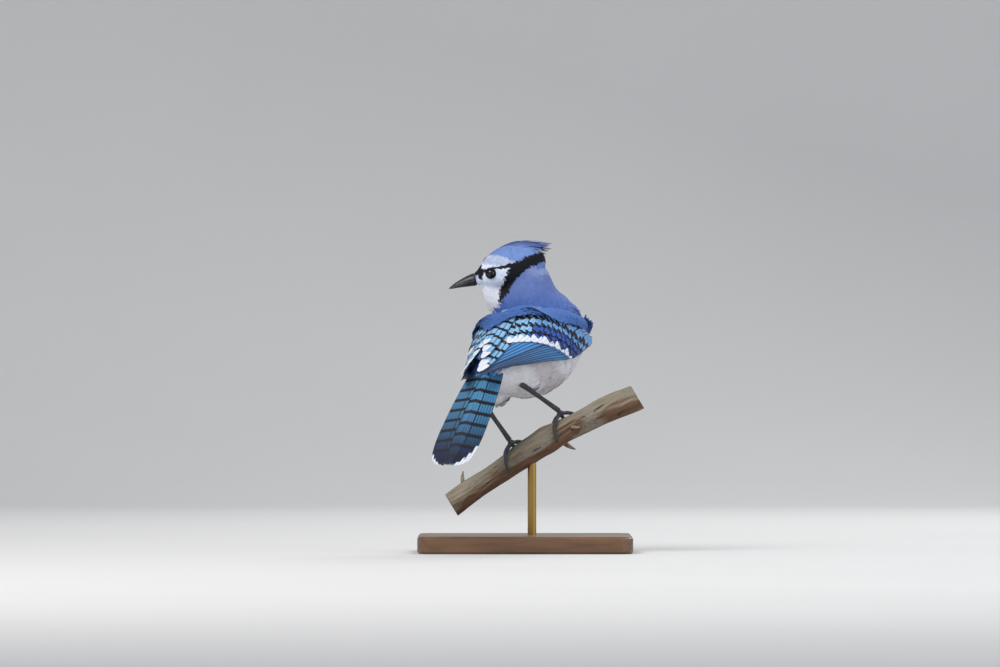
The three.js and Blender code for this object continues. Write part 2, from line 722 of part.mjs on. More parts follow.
function makeRod() {
  const top = branchPoint(ROD_REACH, Math.PI, 0);
  const length = top.z - BASE_HEIGHT - GAP;
  const rod = new THREE.CylinderGeometry(ROD_RADIUS, ROD_RADIUS, length, 16).rotateX(Math.PI / 2);
  return solid(rod.translate(top.x, top.y, BASE_HEIGHT + GAP + length / 2)).subtract(branchBody(GAP));
}

// Assembly: each solid is cut clear of the ones it meets
const bill = makeBill();
const head = makeHead(bill);
const headClear = loftOf(headStations, 22, GAP);
const throat = loftOf(stationsAlong(THROAT, 6), 14);
const neckLoft = loftOf(neckStations, BODY_SIDES);
const thighs = { right: makeThigh(LEGS.right), left: makeThigh(LEGS.left) };
const torsoEnd = torsoStations[torsoStations.length - 1];
torsoEnd.at.addScaledVector(torsoEnd.tangent, -GAP);
const torsoLoft = loftOf(torsoStations, BODY_SIDES);
const torsoSkin = loftOf(torsoStations, BODY_SIDES, GAP);
const neck = neckLoft.add(throat).subtract(torsoSkin).subtract(headClear);
const torsoClear = torsoSkin.add(loftOf(neckStations, BODY_SIDES, GAP));
const undertail = loftOf(stationsAlong(UNDERTAIL, 8), 16);
const tail = makeTail();
const tailClear = tailBlock();
const torso = torsoLoft.add(undertail).subtract(tailClear);

const pieces = {
  stand_base: [makeBase(), "wood"],
  stand_rod: [makeRod(), "rod"],
  perch_branch: [makeBranch(), "bark"],
  torso: [torso, "pale"],
  neck: [neck, "blue"],
  head: [head, "blue"],
  tail: [tail, "blue"],
  bill_upper: [bill.bill_upper, "horn"],
  bill_lower: [bill.bill_lower, "horn"],
  eye_left: [ballAt(eyePlace(-1), EYE_RADIUS), "eye"],
  eye_right: [ballAt(eyePlace(1), EYE_RADIUS), "eye"],
  wing_left: [makeWing(-1).subtract(torsoClear), "azure"],
  wing_right: [makeWing(1).subtract(torsoClear), "azure"],
};
for (const side of ["left", "right"]) {
  const leg = LEGS[side];
  const tarsus = makeTarsus(leg);
  const foot = makeFoot(leg);
  const reachClear = taperedBar(
    [leg.heel, offset(footPlace(leg), BRANCH_UP, TOE_RADIUS * 1.3)],
    [TARSUS_RADIUS * 1.35 + GAP, TARSUS_RADIUS * 1.2 + GAP],
    10,
    2,
  );
  pieces["thigh_" + side] = [thighs[side].subtract(torsoClear).subtract(reachClear), "pale"];
  pieces["tarsus_" + side] = [tarsus.subtract(torsoClear), "leg"];
  pieces["foot_" + side] = [foot.subtract(reachClear), "leg"];
}

const LOOKS = {
  wood: [0x6b4a32, 0.55, 0],
  rod: [0xb08d4f, 0.35, 1],
  bark: [0x8c7358, 0.9, 0],
  pale: [0xd8d4d6, 0.9, 0],
  blue: [0x6c86c6, 0.8, 0],
  azure: [0x4f9ad0, 0.7, 0],
  horn: [0x33353a, 0.4, 0],
  leg: [0x2c2b2d, 0.6, 0],
  eye: [0x1a1012, 0.1, 0],
};

const jay = new THREE.Group();
for (const [name, [body, look]] of Object.entries(pieces)) {
  const [color, roughness, metalness] = LOOKS[look];
  const material = new THREE.MeshStandardMaterial({ color, roughness, metalness });
  const mesh = new THREE.Mesh(largest(body), material);
  mesh.name = name;
  jay.add(mesh);
}

export default jay;
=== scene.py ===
import math

import bpy
import numpy as np
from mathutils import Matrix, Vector


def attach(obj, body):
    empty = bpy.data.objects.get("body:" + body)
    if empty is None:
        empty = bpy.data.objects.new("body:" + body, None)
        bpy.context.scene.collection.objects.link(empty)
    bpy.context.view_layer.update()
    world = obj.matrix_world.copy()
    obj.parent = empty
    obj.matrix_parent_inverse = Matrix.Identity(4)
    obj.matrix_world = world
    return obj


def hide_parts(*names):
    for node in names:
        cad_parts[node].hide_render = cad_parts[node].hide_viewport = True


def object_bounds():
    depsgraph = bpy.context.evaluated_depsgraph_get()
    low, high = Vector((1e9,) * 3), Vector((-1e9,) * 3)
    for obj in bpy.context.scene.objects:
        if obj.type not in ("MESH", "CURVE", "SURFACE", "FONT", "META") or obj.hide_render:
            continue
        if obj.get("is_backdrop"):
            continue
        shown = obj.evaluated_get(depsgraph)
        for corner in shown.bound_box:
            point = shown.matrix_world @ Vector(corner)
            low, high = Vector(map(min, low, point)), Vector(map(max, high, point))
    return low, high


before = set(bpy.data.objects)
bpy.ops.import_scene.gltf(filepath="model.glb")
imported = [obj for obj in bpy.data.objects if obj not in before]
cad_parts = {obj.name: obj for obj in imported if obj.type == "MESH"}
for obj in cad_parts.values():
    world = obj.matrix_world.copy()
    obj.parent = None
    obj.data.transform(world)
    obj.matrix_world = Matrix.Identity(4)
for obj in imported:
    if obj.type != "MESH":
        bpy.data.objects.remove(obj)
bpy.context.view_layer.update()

MM = 0.001
DEG = math.pi / 180
chance = np.random.default_rng(17)


# Small helpers
def vec(*numbers):
    return np.array(numbers, dtype=float)


def unit(v):
    v = np.asarray(v, dtype=float)
    return v / np.maximum(np.linalg.norm(v, axis=-1, keepdims=True), 1e-9)


def square_to(way, v):
    """The part of v at right angles to a way, as a direction."""
    return unit(v - way * v.dot(way))


def smooth(low, high, x):
    t = np.clip((np.asarray(x, dtype=float) - low) / (high - low), 0, 1)
    return t * t * (3 - 2 * t)


def blend(a, b, share):
    return a + (b - a) * np.asarray(share, dtype=float)[..., None]


def paint(text):
    parts = np.array([int(text[i : i + 2], 16) / 255 for i in (0, 2, 4)])
    return np.where(parts <= 0.04045, parts / 12.92, ((parts + 0.055) / 1.055) ** 2.4)


def linked(name, data):
    thing = bpy.data.objects.new(name, data)
    bpy.context.scene.collection.objects.link(thing)
    return thing


def mesh_object(name, points, faces):
    """One mesh object from points in millimetres and faces that all have the same number of corners."""
    points = np.asarray(points, dtype=np.float32) * MM
    faces = np.asarray(faces, dtype=np.int32)
    corners = faces.shape[1]
    mesh = bpy.data.meshes.new(name)
    mesh.vertices.add(len(points))
    mesh.vertices.foreach_set("co", points.ravel())
    mesh.loops.add(faces.size)
    mesh.loops.foreach_set("vertex_index", faces.ravel())
    mesh.polygons.add(len(faces))
    mesh.polygons.foreach_set("loop_start", np.arange(0, faces.size, corners, dtype=np.int32))
    mesh.polygons.foreach_set("use_smooth", np.ones(len(faces), dtype=bool))
    mesh.update(calc_edges=True)
    return linked(name, mesh)


def set_colour(piece, name, colours):
    layer = piece.data.color_attributes.new(name, "FLOAT_COLOR", "POINT")
    full = np.ones((len(colours), 4), dtype=np.float32)
    full[:, :3] = colours
    layer.data.foreach_set("color", full.ravel())


def set_number(piece, name, numbers):
    layer = piece.data.attributes.new(name, "FLOAT", "POINT")
    layer.data.foreach_set("value", np.asarray(numbers, dtype=np.float32))


def set_uv(piece, name, per_point):
    layer = piece.data.uv_layers.new(name=name)
    index = np.empty(len(piece.data.loops), dtype=np.int32)
    piece.data.loops.foreach_get("vertex_index", index)
    layer.data.foreach_set("uv", np.asarray(per_point, dtype=np.float32)[index].ravel())


def dressed(piece, material, slot, *nodes):
    piece.data.materials.append(material)
    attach(piece, "root")
    if nodes:
        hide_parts(*nodes)
    return piece


# Materials are built from nodes by this small helper
class Look:
    def __init__(self, name):
        self.material = bpy.data.materials.new(name)
        self.material.use_nodes = True
        self.tree = self.material.node_tree
        self.shader = self.tree.nodes["Principled BSDF"]

    def add(self, kind, settings=None, **inputs):
        node = self.tree.nodes.new(kind)
        for key, value in (settings or {}).items():
            setattr(node, key, value)
        for key, value in inputs.items():
            self.put(node, key.replace("_", " "), value)
        return node

    def put(self, node, key, value):
        socket = node.inputs[int(key)] if key.isdigit() else node.inputs[key]
        if isinstance(value, bpy.types.NodeSocket):
            self.tree.links.new(value, socket)
        else:
            socket.default_value = value

    def math(self, operation, a, b=0.0):
        node = self.add("ShaderNodeMath", {"operation": operation})
        self.put(node, "0", a)
        self.put(node, "1", b)
        return node.outputs[0]

    def plus(self, a, b):
        return self.math("ADD", a, b)

    def minus(self, a, b):
        return self.math("SUBTRACT", a, b)

    def times(self, a, b):
        return self.math("MULTIPLY", a, b)

    def span(self, value, low, high, to_low=0.0, to_high=1.0, kind="LINEAR"):
        node = self.add(
            "ShaderNodeMapRange", {"interpolation_type": kind},
            Value=value, From_Min=low, From_Max=high, To_Min=to_low, To_Max=to_high,
        )
        return node.outputs["Result"]

    def ramp(self, value, low, high):
        return self.span(value, low, high, kind="SMOOTHSTEP")

    def parts(self, vector):
        node = self.add("ShaderNodeSeparateXYZ")
        self.put(node, "0", vector)
        return node.outputs

    def mix(self, share, a, b, kind="MIX"):
        node = self.add("ShaderNodeMix", {"data_type": "RGBA", "blend_type": kind})
        self.put(node, "0", share)
        for key, value in (("6", a), ("7", b)):
            if not isinstance(value, bpy.types.NodeSocket):
                value = (*value, 1.0)
            self.put(node, key, value)
        return node.outputs[2]

    def stain(self, colour, value, low, high, strength, other):
        """Lays another colour over the first where the value runs from low to high."""
        return self.mix(self.times(self.ramp(value, low, high), strength), colour, other)

    def noise(self, scale, detail=3.0, stretch=None, place=None):
        if place is None:
            place = self.add("ShaderNodeTexCoord").outputs["Object"]
        if stretch:
            place = self.add("ShaderNodeMapping", Scale=stretch, Vector=place).outputs[0]
        return self.add("ShaderNodeTexNoise", Scale=scale, Detail=detail, Vector=place).outputs["Fac"]

    def bump(self, height, strength, distance):
        node = self.add("ShaderNodeBump", Strength=strength, Distance=distance, Height=height)
        self.put(self.shader, "Normal", node.outputs[0])

    def finish(self, colour, roughness, **constants):
        self.put(self.shader, "Base Color", colour)
        self.put(self.shader, "Roughness", roughness)
        for key, value in constants.items():
            self.shader.inputs[key.replace("_", " ")].default_value = value
        return self.material


# Directions of the body and head
def right_of(heading, pitch, roll):
    """The way to the right for a body that looks along its heading and pitch, rolled to one side."""
    forward = vec(math.sin(heading) * math.cos(pitch), math.cos(heading) * math.cos(pitch), math.sin(pitch))
    level = vec(math.cos(heading), -math.sin(heading), 0)
    raised = np.cross(level, forward)
    return level * math.cos(roll) + raised * math.sin(roll)


BODY_RIGHT = right_of(38 * DEG, 28 * DEG, 11 * DEG)
HEAD_DROOP = 13 * DEG
# The height at which the coat of the body meets that of the head
NECK_TOP = 176
# The middle plane of the head, along y
MIDDLE = 18
HEAD_CENTRE = vec(-9, MIDDLE, 198)
HEAD_FORWARD = vec(-math.cos(HEAD_DROOP), 0, -math.sin(HEAD_DROOP))
HEAD_RIGHT = vec(0, 1, 0)
HEAD_UP = vec(-math.sin(HEAD_DROOP), 0, math.cos(HEAD_DROOP))


# Stations are rows of: place, right direction, half width, height above and height below
def stations_along(places, count):
    """Stations on a smooth line through the places, each with its up direction."""
    at, right, size = (np.array(column, dtype=float) for column in zip(*places))
    last = len(places) - 1

    def line(values, share):
        reach = min(max(share, 0), 1) * last
        low = min(int(reach), last - 1)
        t = reach - low
        before, a, b, after = (values[min(max(k, 0), last)] for k in (low - 1, low, low + 1, low + 2))
        slope_a, slope_b = (b - before) / 2, (after - a) / 2
        return (
            (2 * t**3 - 3 * t**2 + 1) * a
            + (t**3 - 2 * t**2 + t) * slope_a
            + (-2 * t**3 + 3 * t**2) * b
            + (t**3 - t**2) * slope_b
        )

    rows = []
    for i in range(count + 1):
        share = i / count
        tangent = unit(line(at, share + 0.004) - line(at, share - 0.004))
        aside = square_to(tangent, line(right, share))
        rows.append((line(at, share), aside, np.cross(aside, tangent), line(size, share)))
    return rows


def loft_rings(rows, sides, grow=0.0):
    angles = 2 * math.pi * np.arange(sides) / sides
    rings = []
    for at, right, up, (half, above, below) in rows:
        rise = np.cos(angles)
        height = np.where(rise > 0, above, below) + grow
        rings.append(at + np.outer(np.sin(angles) * (half + grow), right) + np.outer(rise * height, up))
    return np.array(rings)


def wrapped_grid(rows, sides):
    """Numbers of each point and of the next one round, in rows that close round."""
    i, j = np.meshgrid(np.arange(rows), np.arange(sides), indexing="ij")
    return i * sides + j, i * sides + (j + 1) % sides


def ring_mesh(rings):
    """Points and triangles of a closed skin over rings of equal count."""
    rows, sides = rings.shape[:2]
    points = np.concatenate([rings.reshape(-1, 3), [rings[0].mean(0), rings[-1].mean(0)]])
    a, b = wrapped_grid(rows - 1, sides)
    walls = np.stack([a, b, b + sides, a, b + sides, a + sides], -1).reshape(-1, 3)
    edge = np.arange(sides)
    first, last = rows * sides, rows * sides + 1
    top = (rows - 1) * sides
    caps = np.concatenate([
        np.stack([np.full(sides, first), (edge + 1) % sides, edge], -1),
        np.stack([np.full(sides, last), top + edge, top + (edge + 1) % sides], -1),
    ])
    return points, np.concatenate([walls, caps])


def joined_mesh(parts):
    points, faces, shift = [], [], 0
    for some_points, some_faces in parts:
        points.append(some_points)
        faces.append(some_faces + shift)
        shift += len(some_points)
    return np.concatenate(points), np.concatenate(faces)


NECK_RIGHT = vec(0.9, -0.42, 0.1)
SPINE = [
    ((-30, -51, 120), BODY_RIGHT, (8, 4, 8)),
    ((-24, -40, 127), BODY_RIGHT, (15, 11, 16)),
    ((-14, -24, 132), BODY_RIGHT, (25, 20, 23)),
    ((1, -3, 139), BODY_RIGHT, (33, 30, 32)),
    ((10, 12, 152), BODY_RIGHT, (33, 30, 31)),
    ((6, 17, 167), NECK_RIGHT, (28, 25, 26)),
    ((2.5, 18, 180), NECK_RIGHT, (22, 20, 20)),
    ((1, 18, 197), NECK_RIGHT, (15.5, 14.5, 15)),
]
THROAT = [
    ((-27, 18, 186), HEAD_RIGHT, (6, 6, 5)),
    ((-21.5, 18, 180), HEAD_RIGHT, (9.8, 9.6, 9.6)),
    ((-12.5, 18, 174), HEAD_RIGHT, (13.6, 13.4, 13.4)),
    ((-2, 18, 168), HEAD_RIGHT, (15, 15, 15)),
]
TAIL_ROOT = vec(-26.7, -46.8, 126.6)
TAIL_TIP = vec(-54, -105, 62)
TAIL_WAY = unit(TAIL_TIP - TAIL_ROOT)
TAIL_LENGTH = float(np.linalg.norm(TAIL_TIP - TAIL_ROOT))
TAIL_RIGHT = vec(0.93, -0.36, 0)
TAIL_ASIDE = square_to(TAIL_WAY, TAIL_RIGHT)
TAIL_OUT = unit(np.cross(TAIL_WAY, TAIL_ASIDE))
UNDERTAIL = [
    ((-27, -44, 121), BODY_RIGHT, (11, 7, 12)),
    ((-34, -56, 108), TAIL_RIGHT, (11, 4, 8)),
    ((-40, -68, 93), TAIL_RIGHT, (8, 3, 4)),
    ((-44, -76, 83), TAIL_RIGHT, (4, 1.5, 1.5)),
]
# Head: reach towards the bill, lift, half width, height above and below
HEAD_SIZES = [
    (-23, 2, 5, 4, 5),
    (-21, 2, 9, 8, 8),
    (-15, 1, 13.5, 13, 12.5),
    (-7, 0, 15.2, 17, 15),
    (2, 0, 15.2, 18.2, 14.5),
    (10, 0, 14, 16.4, 12.5),
    (17, 0, 11.5, 12.4, 10.3),
    (23, -0.5, 8, 7.6, 7),
    (27, -1, 5.4, 4.6, 4.8),
]
LEGS = {
    "right": (vec(-3.5, -36, 118.5), vec(6, -20, 124)),
    "left": (vec(-29, -34, 104.5), vec(-17, -16, 117)),
}


def head_place(reach, side, lift):
    return HEAD_CENTRE + HEAD_FORWARD * reach + HEAD_RIGHT * side + HEAD_UP * lift


def eye_place(side):
    return head_place(15, side * 9.6, 0.6)


BILL_PLACE = vec(-34, MIDDLE, 191)
SIDES = ((-1, "left"), (1, "right"))


def thigh_places(heel, hip):
    sizes = ((0, 12.5), (0.45, 9.3), (0.8, 5), (1.04, 2.4))
    return [(hip + (heel - hip) * share, BODY_RIGHT, (size, size, size)) for share, size in sizes]


# One skin over the body, neck, head and thighs, inside them by the depth of the coat
COAT_DEPTH = 1.3
SKIN_GRAIN = 1.3


def triples(rows, key, kind=float):
    """Three numbers of each row of a mesh."""
    values = np.empty(len(rows) * 3, dtype=kind)
    rows.foreach_get(key, values)
    return values.reshape(-1, 3)


def skin_places(skin):
    return triples(skin.data.vertices, "co") / MM


def make_skin():
    head_rows = [
        (head_place(reach, 0, lift), HEAD_RIGHT, HEAD_UP, (half, above, below))
        for reach, lift, half, above, below in HEAD_SIZES
    ]
    bodies = [
        loft_rings(stations_along(SPINE, 30), 40, -COAT_DEPTH),
        loft_rings(stations_along(THROAT, 10), 24, -COAT_DEPTH),
        loft_rings(stations_along(UNDERTAIL, 12), 24, -COAT_DEPTH),
        loft_rings(head_rows, 40, -COAT_DEPTH),
    ]
    for heel, hip in LEGS.values():
        bodies.append(loft_rings(stations_along(thigh_places(heel, hip), 10), 20, -COAT_DEPTH))
    rough = mesh_object("skin_rough", *joined_mesh([ring_mesh(rings) for rings in bodies]))
    remesh = rough.modifiers.new("remesh", "REMESH")
    remesh.mode = "VOXEL"
    remesh.voxel_size = SKIN_GRAIN * MM
    soft = rough.modifiers.new("soft", "SMOOTH")
    soft.factor = 0.6
    soft.iterations = 9
    kept = bpy.data.meshes.new_from_object(rough.evaluated_get(bpy.context.evaluated_depsgraph_get()))
    bpy.data.objects.remove(rough)
    skin = linked("skin", kept)
    skin.data.polygons.foreach_set("use_smooth", np.ones(len(skin.data.polygons), dtype=bool))
    points = skin_places(skin)
    behind = smooth(-3, 3, (points - TAIL_ROOT) @ TAIL_WAY)
    above = np.maximum((points - TAIL_ROOT) @ TAIL_OUT + 3.2, 0)
    points -= TAIL_OUT * (behind * above)[:, None]
    skin.data.vertices.foreach_set("co", (points * MM).astype(np.float32).ravel())
    skin.data.update()
    return skin


# Plumage colours
CROWN = paint("7390CC")
MANTLE = paint("4767AE")
NAPE = paint("6E82B8")
FRINGE = paint("A9B4DA")
FACE = paint("CBD3E4")
THROAT_WHITE = paint("D8DAE4")
BLACK = paint("101218")
NASAL = paint("77849E")
BELLY = paint("D9D8DE")
FLANK = paint("B0A9AB")
AZURE = paint("5FA6D6")


def near_line(points, line):
    """Distance from the points to a line of places with half widths, less the half width there."""
    best = np.full(len(points), 1e9)
    for (ax, az, aw), (bx, bz, bw) in zip(line, line[1:]):
        a, b = vec(ax, az), vec(bx, bz)
        share = np.clip(((points - a) @ (b - a)) / max((b - a) @ (b - a), 1e-9), 0, 1)
        gap = np.linalg.norm(points - a - np.outer(share, b - a), axis=1) - (aw + (bw - aw) * share)
        best = np.minimum(best, gap)
    return best


# Lines on the side of the head: x, z and half width
COLLAR = [
    (14, 207.5, 2.8), (7.5, 206.4, 3.2), (-1, 202.2, 3.8), (-7.5, 197, 4.4),
    (-11.2, 190.5, 4.2), (-14.2, 184, 3.2), (-16.6, 179.5, 1.7), (-18.2, 175.5, 0.5),
]
EYE_LINE = [
    (-37, 194, 0.3), (-31.2, 195.8, 2), (-28, 197, 0.8),
    (-20, 199.2, 0.7), (-13, 200, 1.1), (-6, 201.5, 2),
]
LORE = [(-31.4, 192.4, 1.3), (-32.2, 197, 1.7), (-31.4, 202.8, 0.6), (-27.8, 206.8, 0.4), (-23, 209, 0.1)]
BROW = [(-28.6, 202.6, 1.6), (-22.5, 203.9, 3), (-16, 203.6, 2.8), (-11, 202.6, 1.2), (-7.5, 202.4, 0.3)]
NAPE_PATCH = [(5, 199.5, 1), (13, 199, 2)]
# The back of the face: heights, and x there
FACE_EDGE = ((176, 186, 196, 202), (-18, -13.5, -9, -3))


def spine_angle(points):
    """The angle of each point round the middle of the body, from the back towards the right side."""
    rows = stations_along(SPINE, 40)
    centres = np.array([row[0] for row in rows])
    gaps = np.linalg.norm(points[:, None, :] - centres[None, :, :], axis=2)
    index = gaps.argmin(1)
    out = points - centres[index]
    right, up = (np.array([row[k] for row in rows])[index] for k in (1, 2))
    return np.degrees(np.arctan2((out * right).sum(1), (out * up).sum(1))), index / 40


def plumage(points):
    """The colour of the coat at each place: blue above, pale below, and the marks of the head."""
    x, y, z = points.T
    side = np.stack([x, z], 1)
    ripple = 0.5 * np.sin(x * 2.1 + z * 1.7 + y * 1.3) + 0.4 * np.sin(x * 3.3 - z * 2.9)
    angle, along = spine_angle(points)
    turn = 180 - 128 * smooth(0, 1, (185 - z) / 40)
    round_neck = np.degrees(np.arctan2(y - MIDDLE, x - 2))
    front = np.abs((round_neck - turn + 180) % 360 - 180)
    low_body = smooth(165, 150, z)
    pale = (1 - low_body) * smooth(56, 48, front) + low_body * smooth(82, 92, np.abs(angle) + ripple)
    edge_x = np.interp(z, *FACE_EDGE)
    pale = pale * np.where((z > 170) & (x > edge_x + 1) & (y < MIDDLE), 0.0, 1.0)
    colour = blend(MANTLE, NAPE, smooth(168, 190, z) * 0.75)
    colour = blend(colour, AZURE, smooth(-10, -40, y) * smooth(140, 120, z) * 0.5)
    belly = blend(BELLY, FLANK, smooth(0.35, 0.9, np.sin(x * 0.09 + z * 0.05)) * 0.6)
    colour = blend(colour, belly, pale)
    # Head and throat
    head = smooth(174, 177, z + ripple)
    colour = blend(colour, FRINGE, head * smooth(7, 1, near_line(side, NAPE_PATCH)) * 0.4)
    crown = head * smooth(-1, 1, z - 203.2 + 0.22 * (x + 9) + 0.3 * ripple)
    face = head * (x < edge_x)
    # Painted light: the cheek is a quarter brighter than the face, to lift the shade on the downward-facing
    # cheek. It fades to the throat's white below.
    cheek_with_painted_light = blend(FACE * 1.25, THROAT_WHITE, smooth(190, 182, z))
    colour = blend(colour, cheek_with_painted_light, face)
    colour = blend(colour, CROWN, crown)
    brow = blend(FACE, CROWN, 0.34 + 0.16 * ripple)
    colour = blend(colour, brow, head * smooth(0.9, -0.6, near_line(side, BROW)))
    colour = blend(colour, NASAL, smooth(-33.6, -35.2, x) * smooth(188, 190, z))
    for line in (COLLAR, EYE_LINE, LORE):
        dark = smooth(0.7, -0.3, near_line(side, line) + 0.5 * ripple)
        colour = blend(colour, BLACK, dark * smooth(174, NECK_TOP, z))
    return np.clip(colour, 0, 1)


# The lie of the coat: places and the way that feathers point there
LIE = [
    ((-38, 18, 190), (1, 0, 0.35)),
    ((-32, 12, 200), (0.8, -0.2, 0.6)),
    ((-22, 18, 212), (0.95, 0, 0.5)),
    ((-6, 18, 217), (1, 0, 0.05)),
    ((8, 18, 208), (1, 0, -0.1)),
    ((-20, 7, 191), (0.75, 0, -0.65)),
    ((-20, 29, 191), (0.75, 0, -0.65)),
    ((-16, 6, 202), (1, 0, 0.1)),
    ((-16, 30, 202), (1, 0, 0.1)),
    ((-5, 3, 190), (0.5, 0, -0.85)),
    ((-5, 33, 190), (0.5, 0, -0.85)),
    ((-28, 18, 181), (0.3, 0, -1)),
    ((-18, 18, 168), (0.15, -0.1, -1)),
    ((14, 18, 195), (0.2, -0.25, -1)),
    ((10, 2, 180), (0, -0.3, -1)),
    ((-10, 2, 170), (-0.25, -0.45, -0.9)),
    ((15, -5, 165), (-0.35, -0.5, -0.8)),
    ((40, 15, 155), (-0.2, -0.45, -0.9)),
    ((0, -22, 155), (-0.5, -0.65, -0.6)),
    ((-20, -40, 138), (-0.45, -0.65, -0.6)),
    ((-30, -52, 124), (-0.35, -0.65, -0.7)),
    ((25, 40, 160), (0, 0.1, -1)),
    ((40, 20, 135), (-0.4, -0.6, -0.7)),
    ((20, 20, 110), (-0.55, -0.75, -0.25)),
    ((0, -10, 104), (-0.5, -0.8, -0.25)),
    ((-25, -35, 105), (-0.4, -0.75, -0.55)),
    ((-38, -62, 98), (-0.3, -0.62, -0.72)),
    ((-30, 20, 130), (-0.3, -0.8, -0.4)),
]
LIE += [(tuple(heel), tuple(unit(heel - hip))) for heel, hip in LEGS.values()]


def lie_at(points, normals):
    total = np.zeros_like(points)
    for place, way in LIE:
        gap = np.linalg.norm(points - vec(*place), axis=1)
        total += unit(vec(*way)) / (gap[:, None] ** 3 + 5)
    total -= normals * (total * normals).sum(1, keepdims=True)
    return unit(total)


def feather_size(points):
    """Length and half width of the coat's feathers, and how far apart they are, at each place."""
    x, y, z = points.T
    bill = np.linalg.norm(points - BILL_PLACE, axis=1)
    head = smooth(172, 182, z)
    length = (1 - head) * 8.5 + head * (2 + 2.6 * smooth(4, 26, bill))
    heels = np.minimum(*(np.linalg.norm(points - heel, axis=1) for heel, _ in LEGS.values()))
    length *= 0.4 + 0.6 * smooth(2, 20, heels)
    half = 0.23 * length**0.85
    return length, half, 0.235 * length


# Places tried on the skin, of which one in each small cell is kept
TRIES = 260000


def skin_samples(skin):
    """Places spread over the skin, with the way out there."""
    mesh = skin.data
    points = skin_places(skin)
    outward = triples(mesh.vertices, "normal")
    mesh.calc_loop_triangles()
    corners = triples(mesh.loop_triangles, "vertices", np.int32)
    a, b, c = (points[corners[:, k]] for k in range(3))
    area = np.linalg.norm(np.cross(b - a, c - a), axis=1) / 2
    middle = (a + b + c) / 3
    wanted = area / feather_size(middle)[2] ** 2
    pick = chance.choice(len(corners), TRIES, p=wanted / wanted.sum())
    s, t = chance.random((2, TRIES))
    flip = s + t > 1
    s[flip], t[flip] = 1 - s[flip], 1 - t[flip]
    r = 1 - s - t
    at = a[pick] * r[:, None] + b[pick] * s[:, None] + c[pick] * t[:, None]
    out = sum(outward[corners[pick, k]] * w[:, None] for k, w in enumerate((r, s, t)))
    spacing = feather_size(at)[2]
    steps = np.round(np.log2(spacing) * 4) / 4
    cell = np.floor(at / (2.0 ** steps)[:, None]).astype(np.int64)
    _, first = np.unique(np.column_stack([cell, (steps * 8).astype(np.int64)]), axis=0, return_index=True)
    return at[first], unit(out[first])


# A small feather of the coat: shares along it and widths of its rows, before its point
ROW_SHARES = vec(0, 0.3, 0.62, 0.86)
ROW_WIDTHS = vec(0.55, 0.95, 1, 0.66)
ARCH = math.pi * 0.5 * 1.85
ROOT_DEPTH = 0.35


def coat_mesh(name, roots, normals, ways, length, half, lift, colours, tips):
    """Closed three-sided feathers on the skin, with colours from root to tip."""
    count = len(roots)
    across = np.cross(normals, ways)
    top = 3 * (len(ROW_SHARES) - 1)
    tip = top + 3
    points, shades, facing = (np.empty((count, tip + 1, 3)) for _ in range(3))
    for i, (share, width) in enumerate(zip(ROW_SHARES, ROW_WIDTHS)):
        rise = lift * np.sin(ARCH * share) - ROOT_DEPTH * (1 - share)
        spot = roots + ways * (length * share)[:, None] + normals * rise[:, None]
        wide = half * width
        for k, (aside, raised) in enumerate(((-1, -0.16 * wide), (0, 0.08 + 0 * wide), (1, -0.16 * wide))):
            points[:, 3 * i + k] = spot + across * (wide * aside)[:, None] + normals * raised[:, None]
            facing[:, 3 * i + k] = unit(normals + across * (aside * 0.3) + ways * (0.12 * share))
            shades[:, 3 * i + k] = blend(colours, tips, share**2)
    rise = lift * math.sin(ARCH)
    points[:, -1] = roots + ways * length[:, None] + normals * (rise - 0.05)[:, None]
    shades[:, -1] = tips
    facing[:, -1] = unit(normals + ways * 0.15)
    one = [(1, 2, 0)]
    sign = [1]
    for i in range(0, top, 3):
        for k in range(3):
            a, b = i + k, i + (k + 1) % 3
            one += [(b + 3, b, a), (a + 3, b + 3, a)]
            sign += [-1 if k == 2 else 1] * 2
    for k in range(3):
        one.append((tip, top + (k + 1) % 3, top + k))
        sign.append(-1 if k == 2 else 1)
    faces = (np.array(one)[None] + (np.arange(count) * (tip + 1))[:, None, None]).reshape(-1, 3)
    piece = mesh_object(name, points.reshape(-1, 3), faces)
    set_colour(piece, "shade", shades.reshape(-1, 3))
    # Upper faces are lit as the skin below them is, and under faces the other way
    corners = facing.reshape(-1, 3)[faces] * np.tile(sign, count)[:, None, None]
    piece.data.normals_split_custom_set(corners.reshape(-1, 3).astype(np.float32))
    # The unwrap: round the body across, and along it from rump to bill upwards
    angle, along = spine_angle(roots)
    forward = ((roots - HEAD_CENTRE) @ HEAD_FORWARD + 23) / 50
    in_head = smooth(180, 190, roots[:, 2])
    upward = along * 0.72 * (1 - in_head) + in_head * (0.76 + 0.23 * np.clip(forward, 0, 1))
    round_head = np.degrees(np.arctan2(roots[:, 1] - MIDDLE, (roots - HEAD_CENTRE) @ HEAD_UP))
    turn = np.where(roots[:, 2] > 185, round_head, angle) / 360 + 0.5
    centre = np.stack([0.01 + 0.98 * np.clip(turn, 0, 1), 0.01 + 0.98 * np.clip(upward, 0, 1)], 1)
    patch = np.zeros((tip + 1, 2))
    for i, share in enumerate(ROW_SHARES):
        for k in range(3):
            patch[3 * i + k] = ((k - 1) * 0.0014, (share - 0.5) * 0.003)
    patch[-1] = (0, 0.0015)
    set_uv(piece, "OFBake", (centre[:, None] + patch[None]).reshape(-1, 2))
    return piece


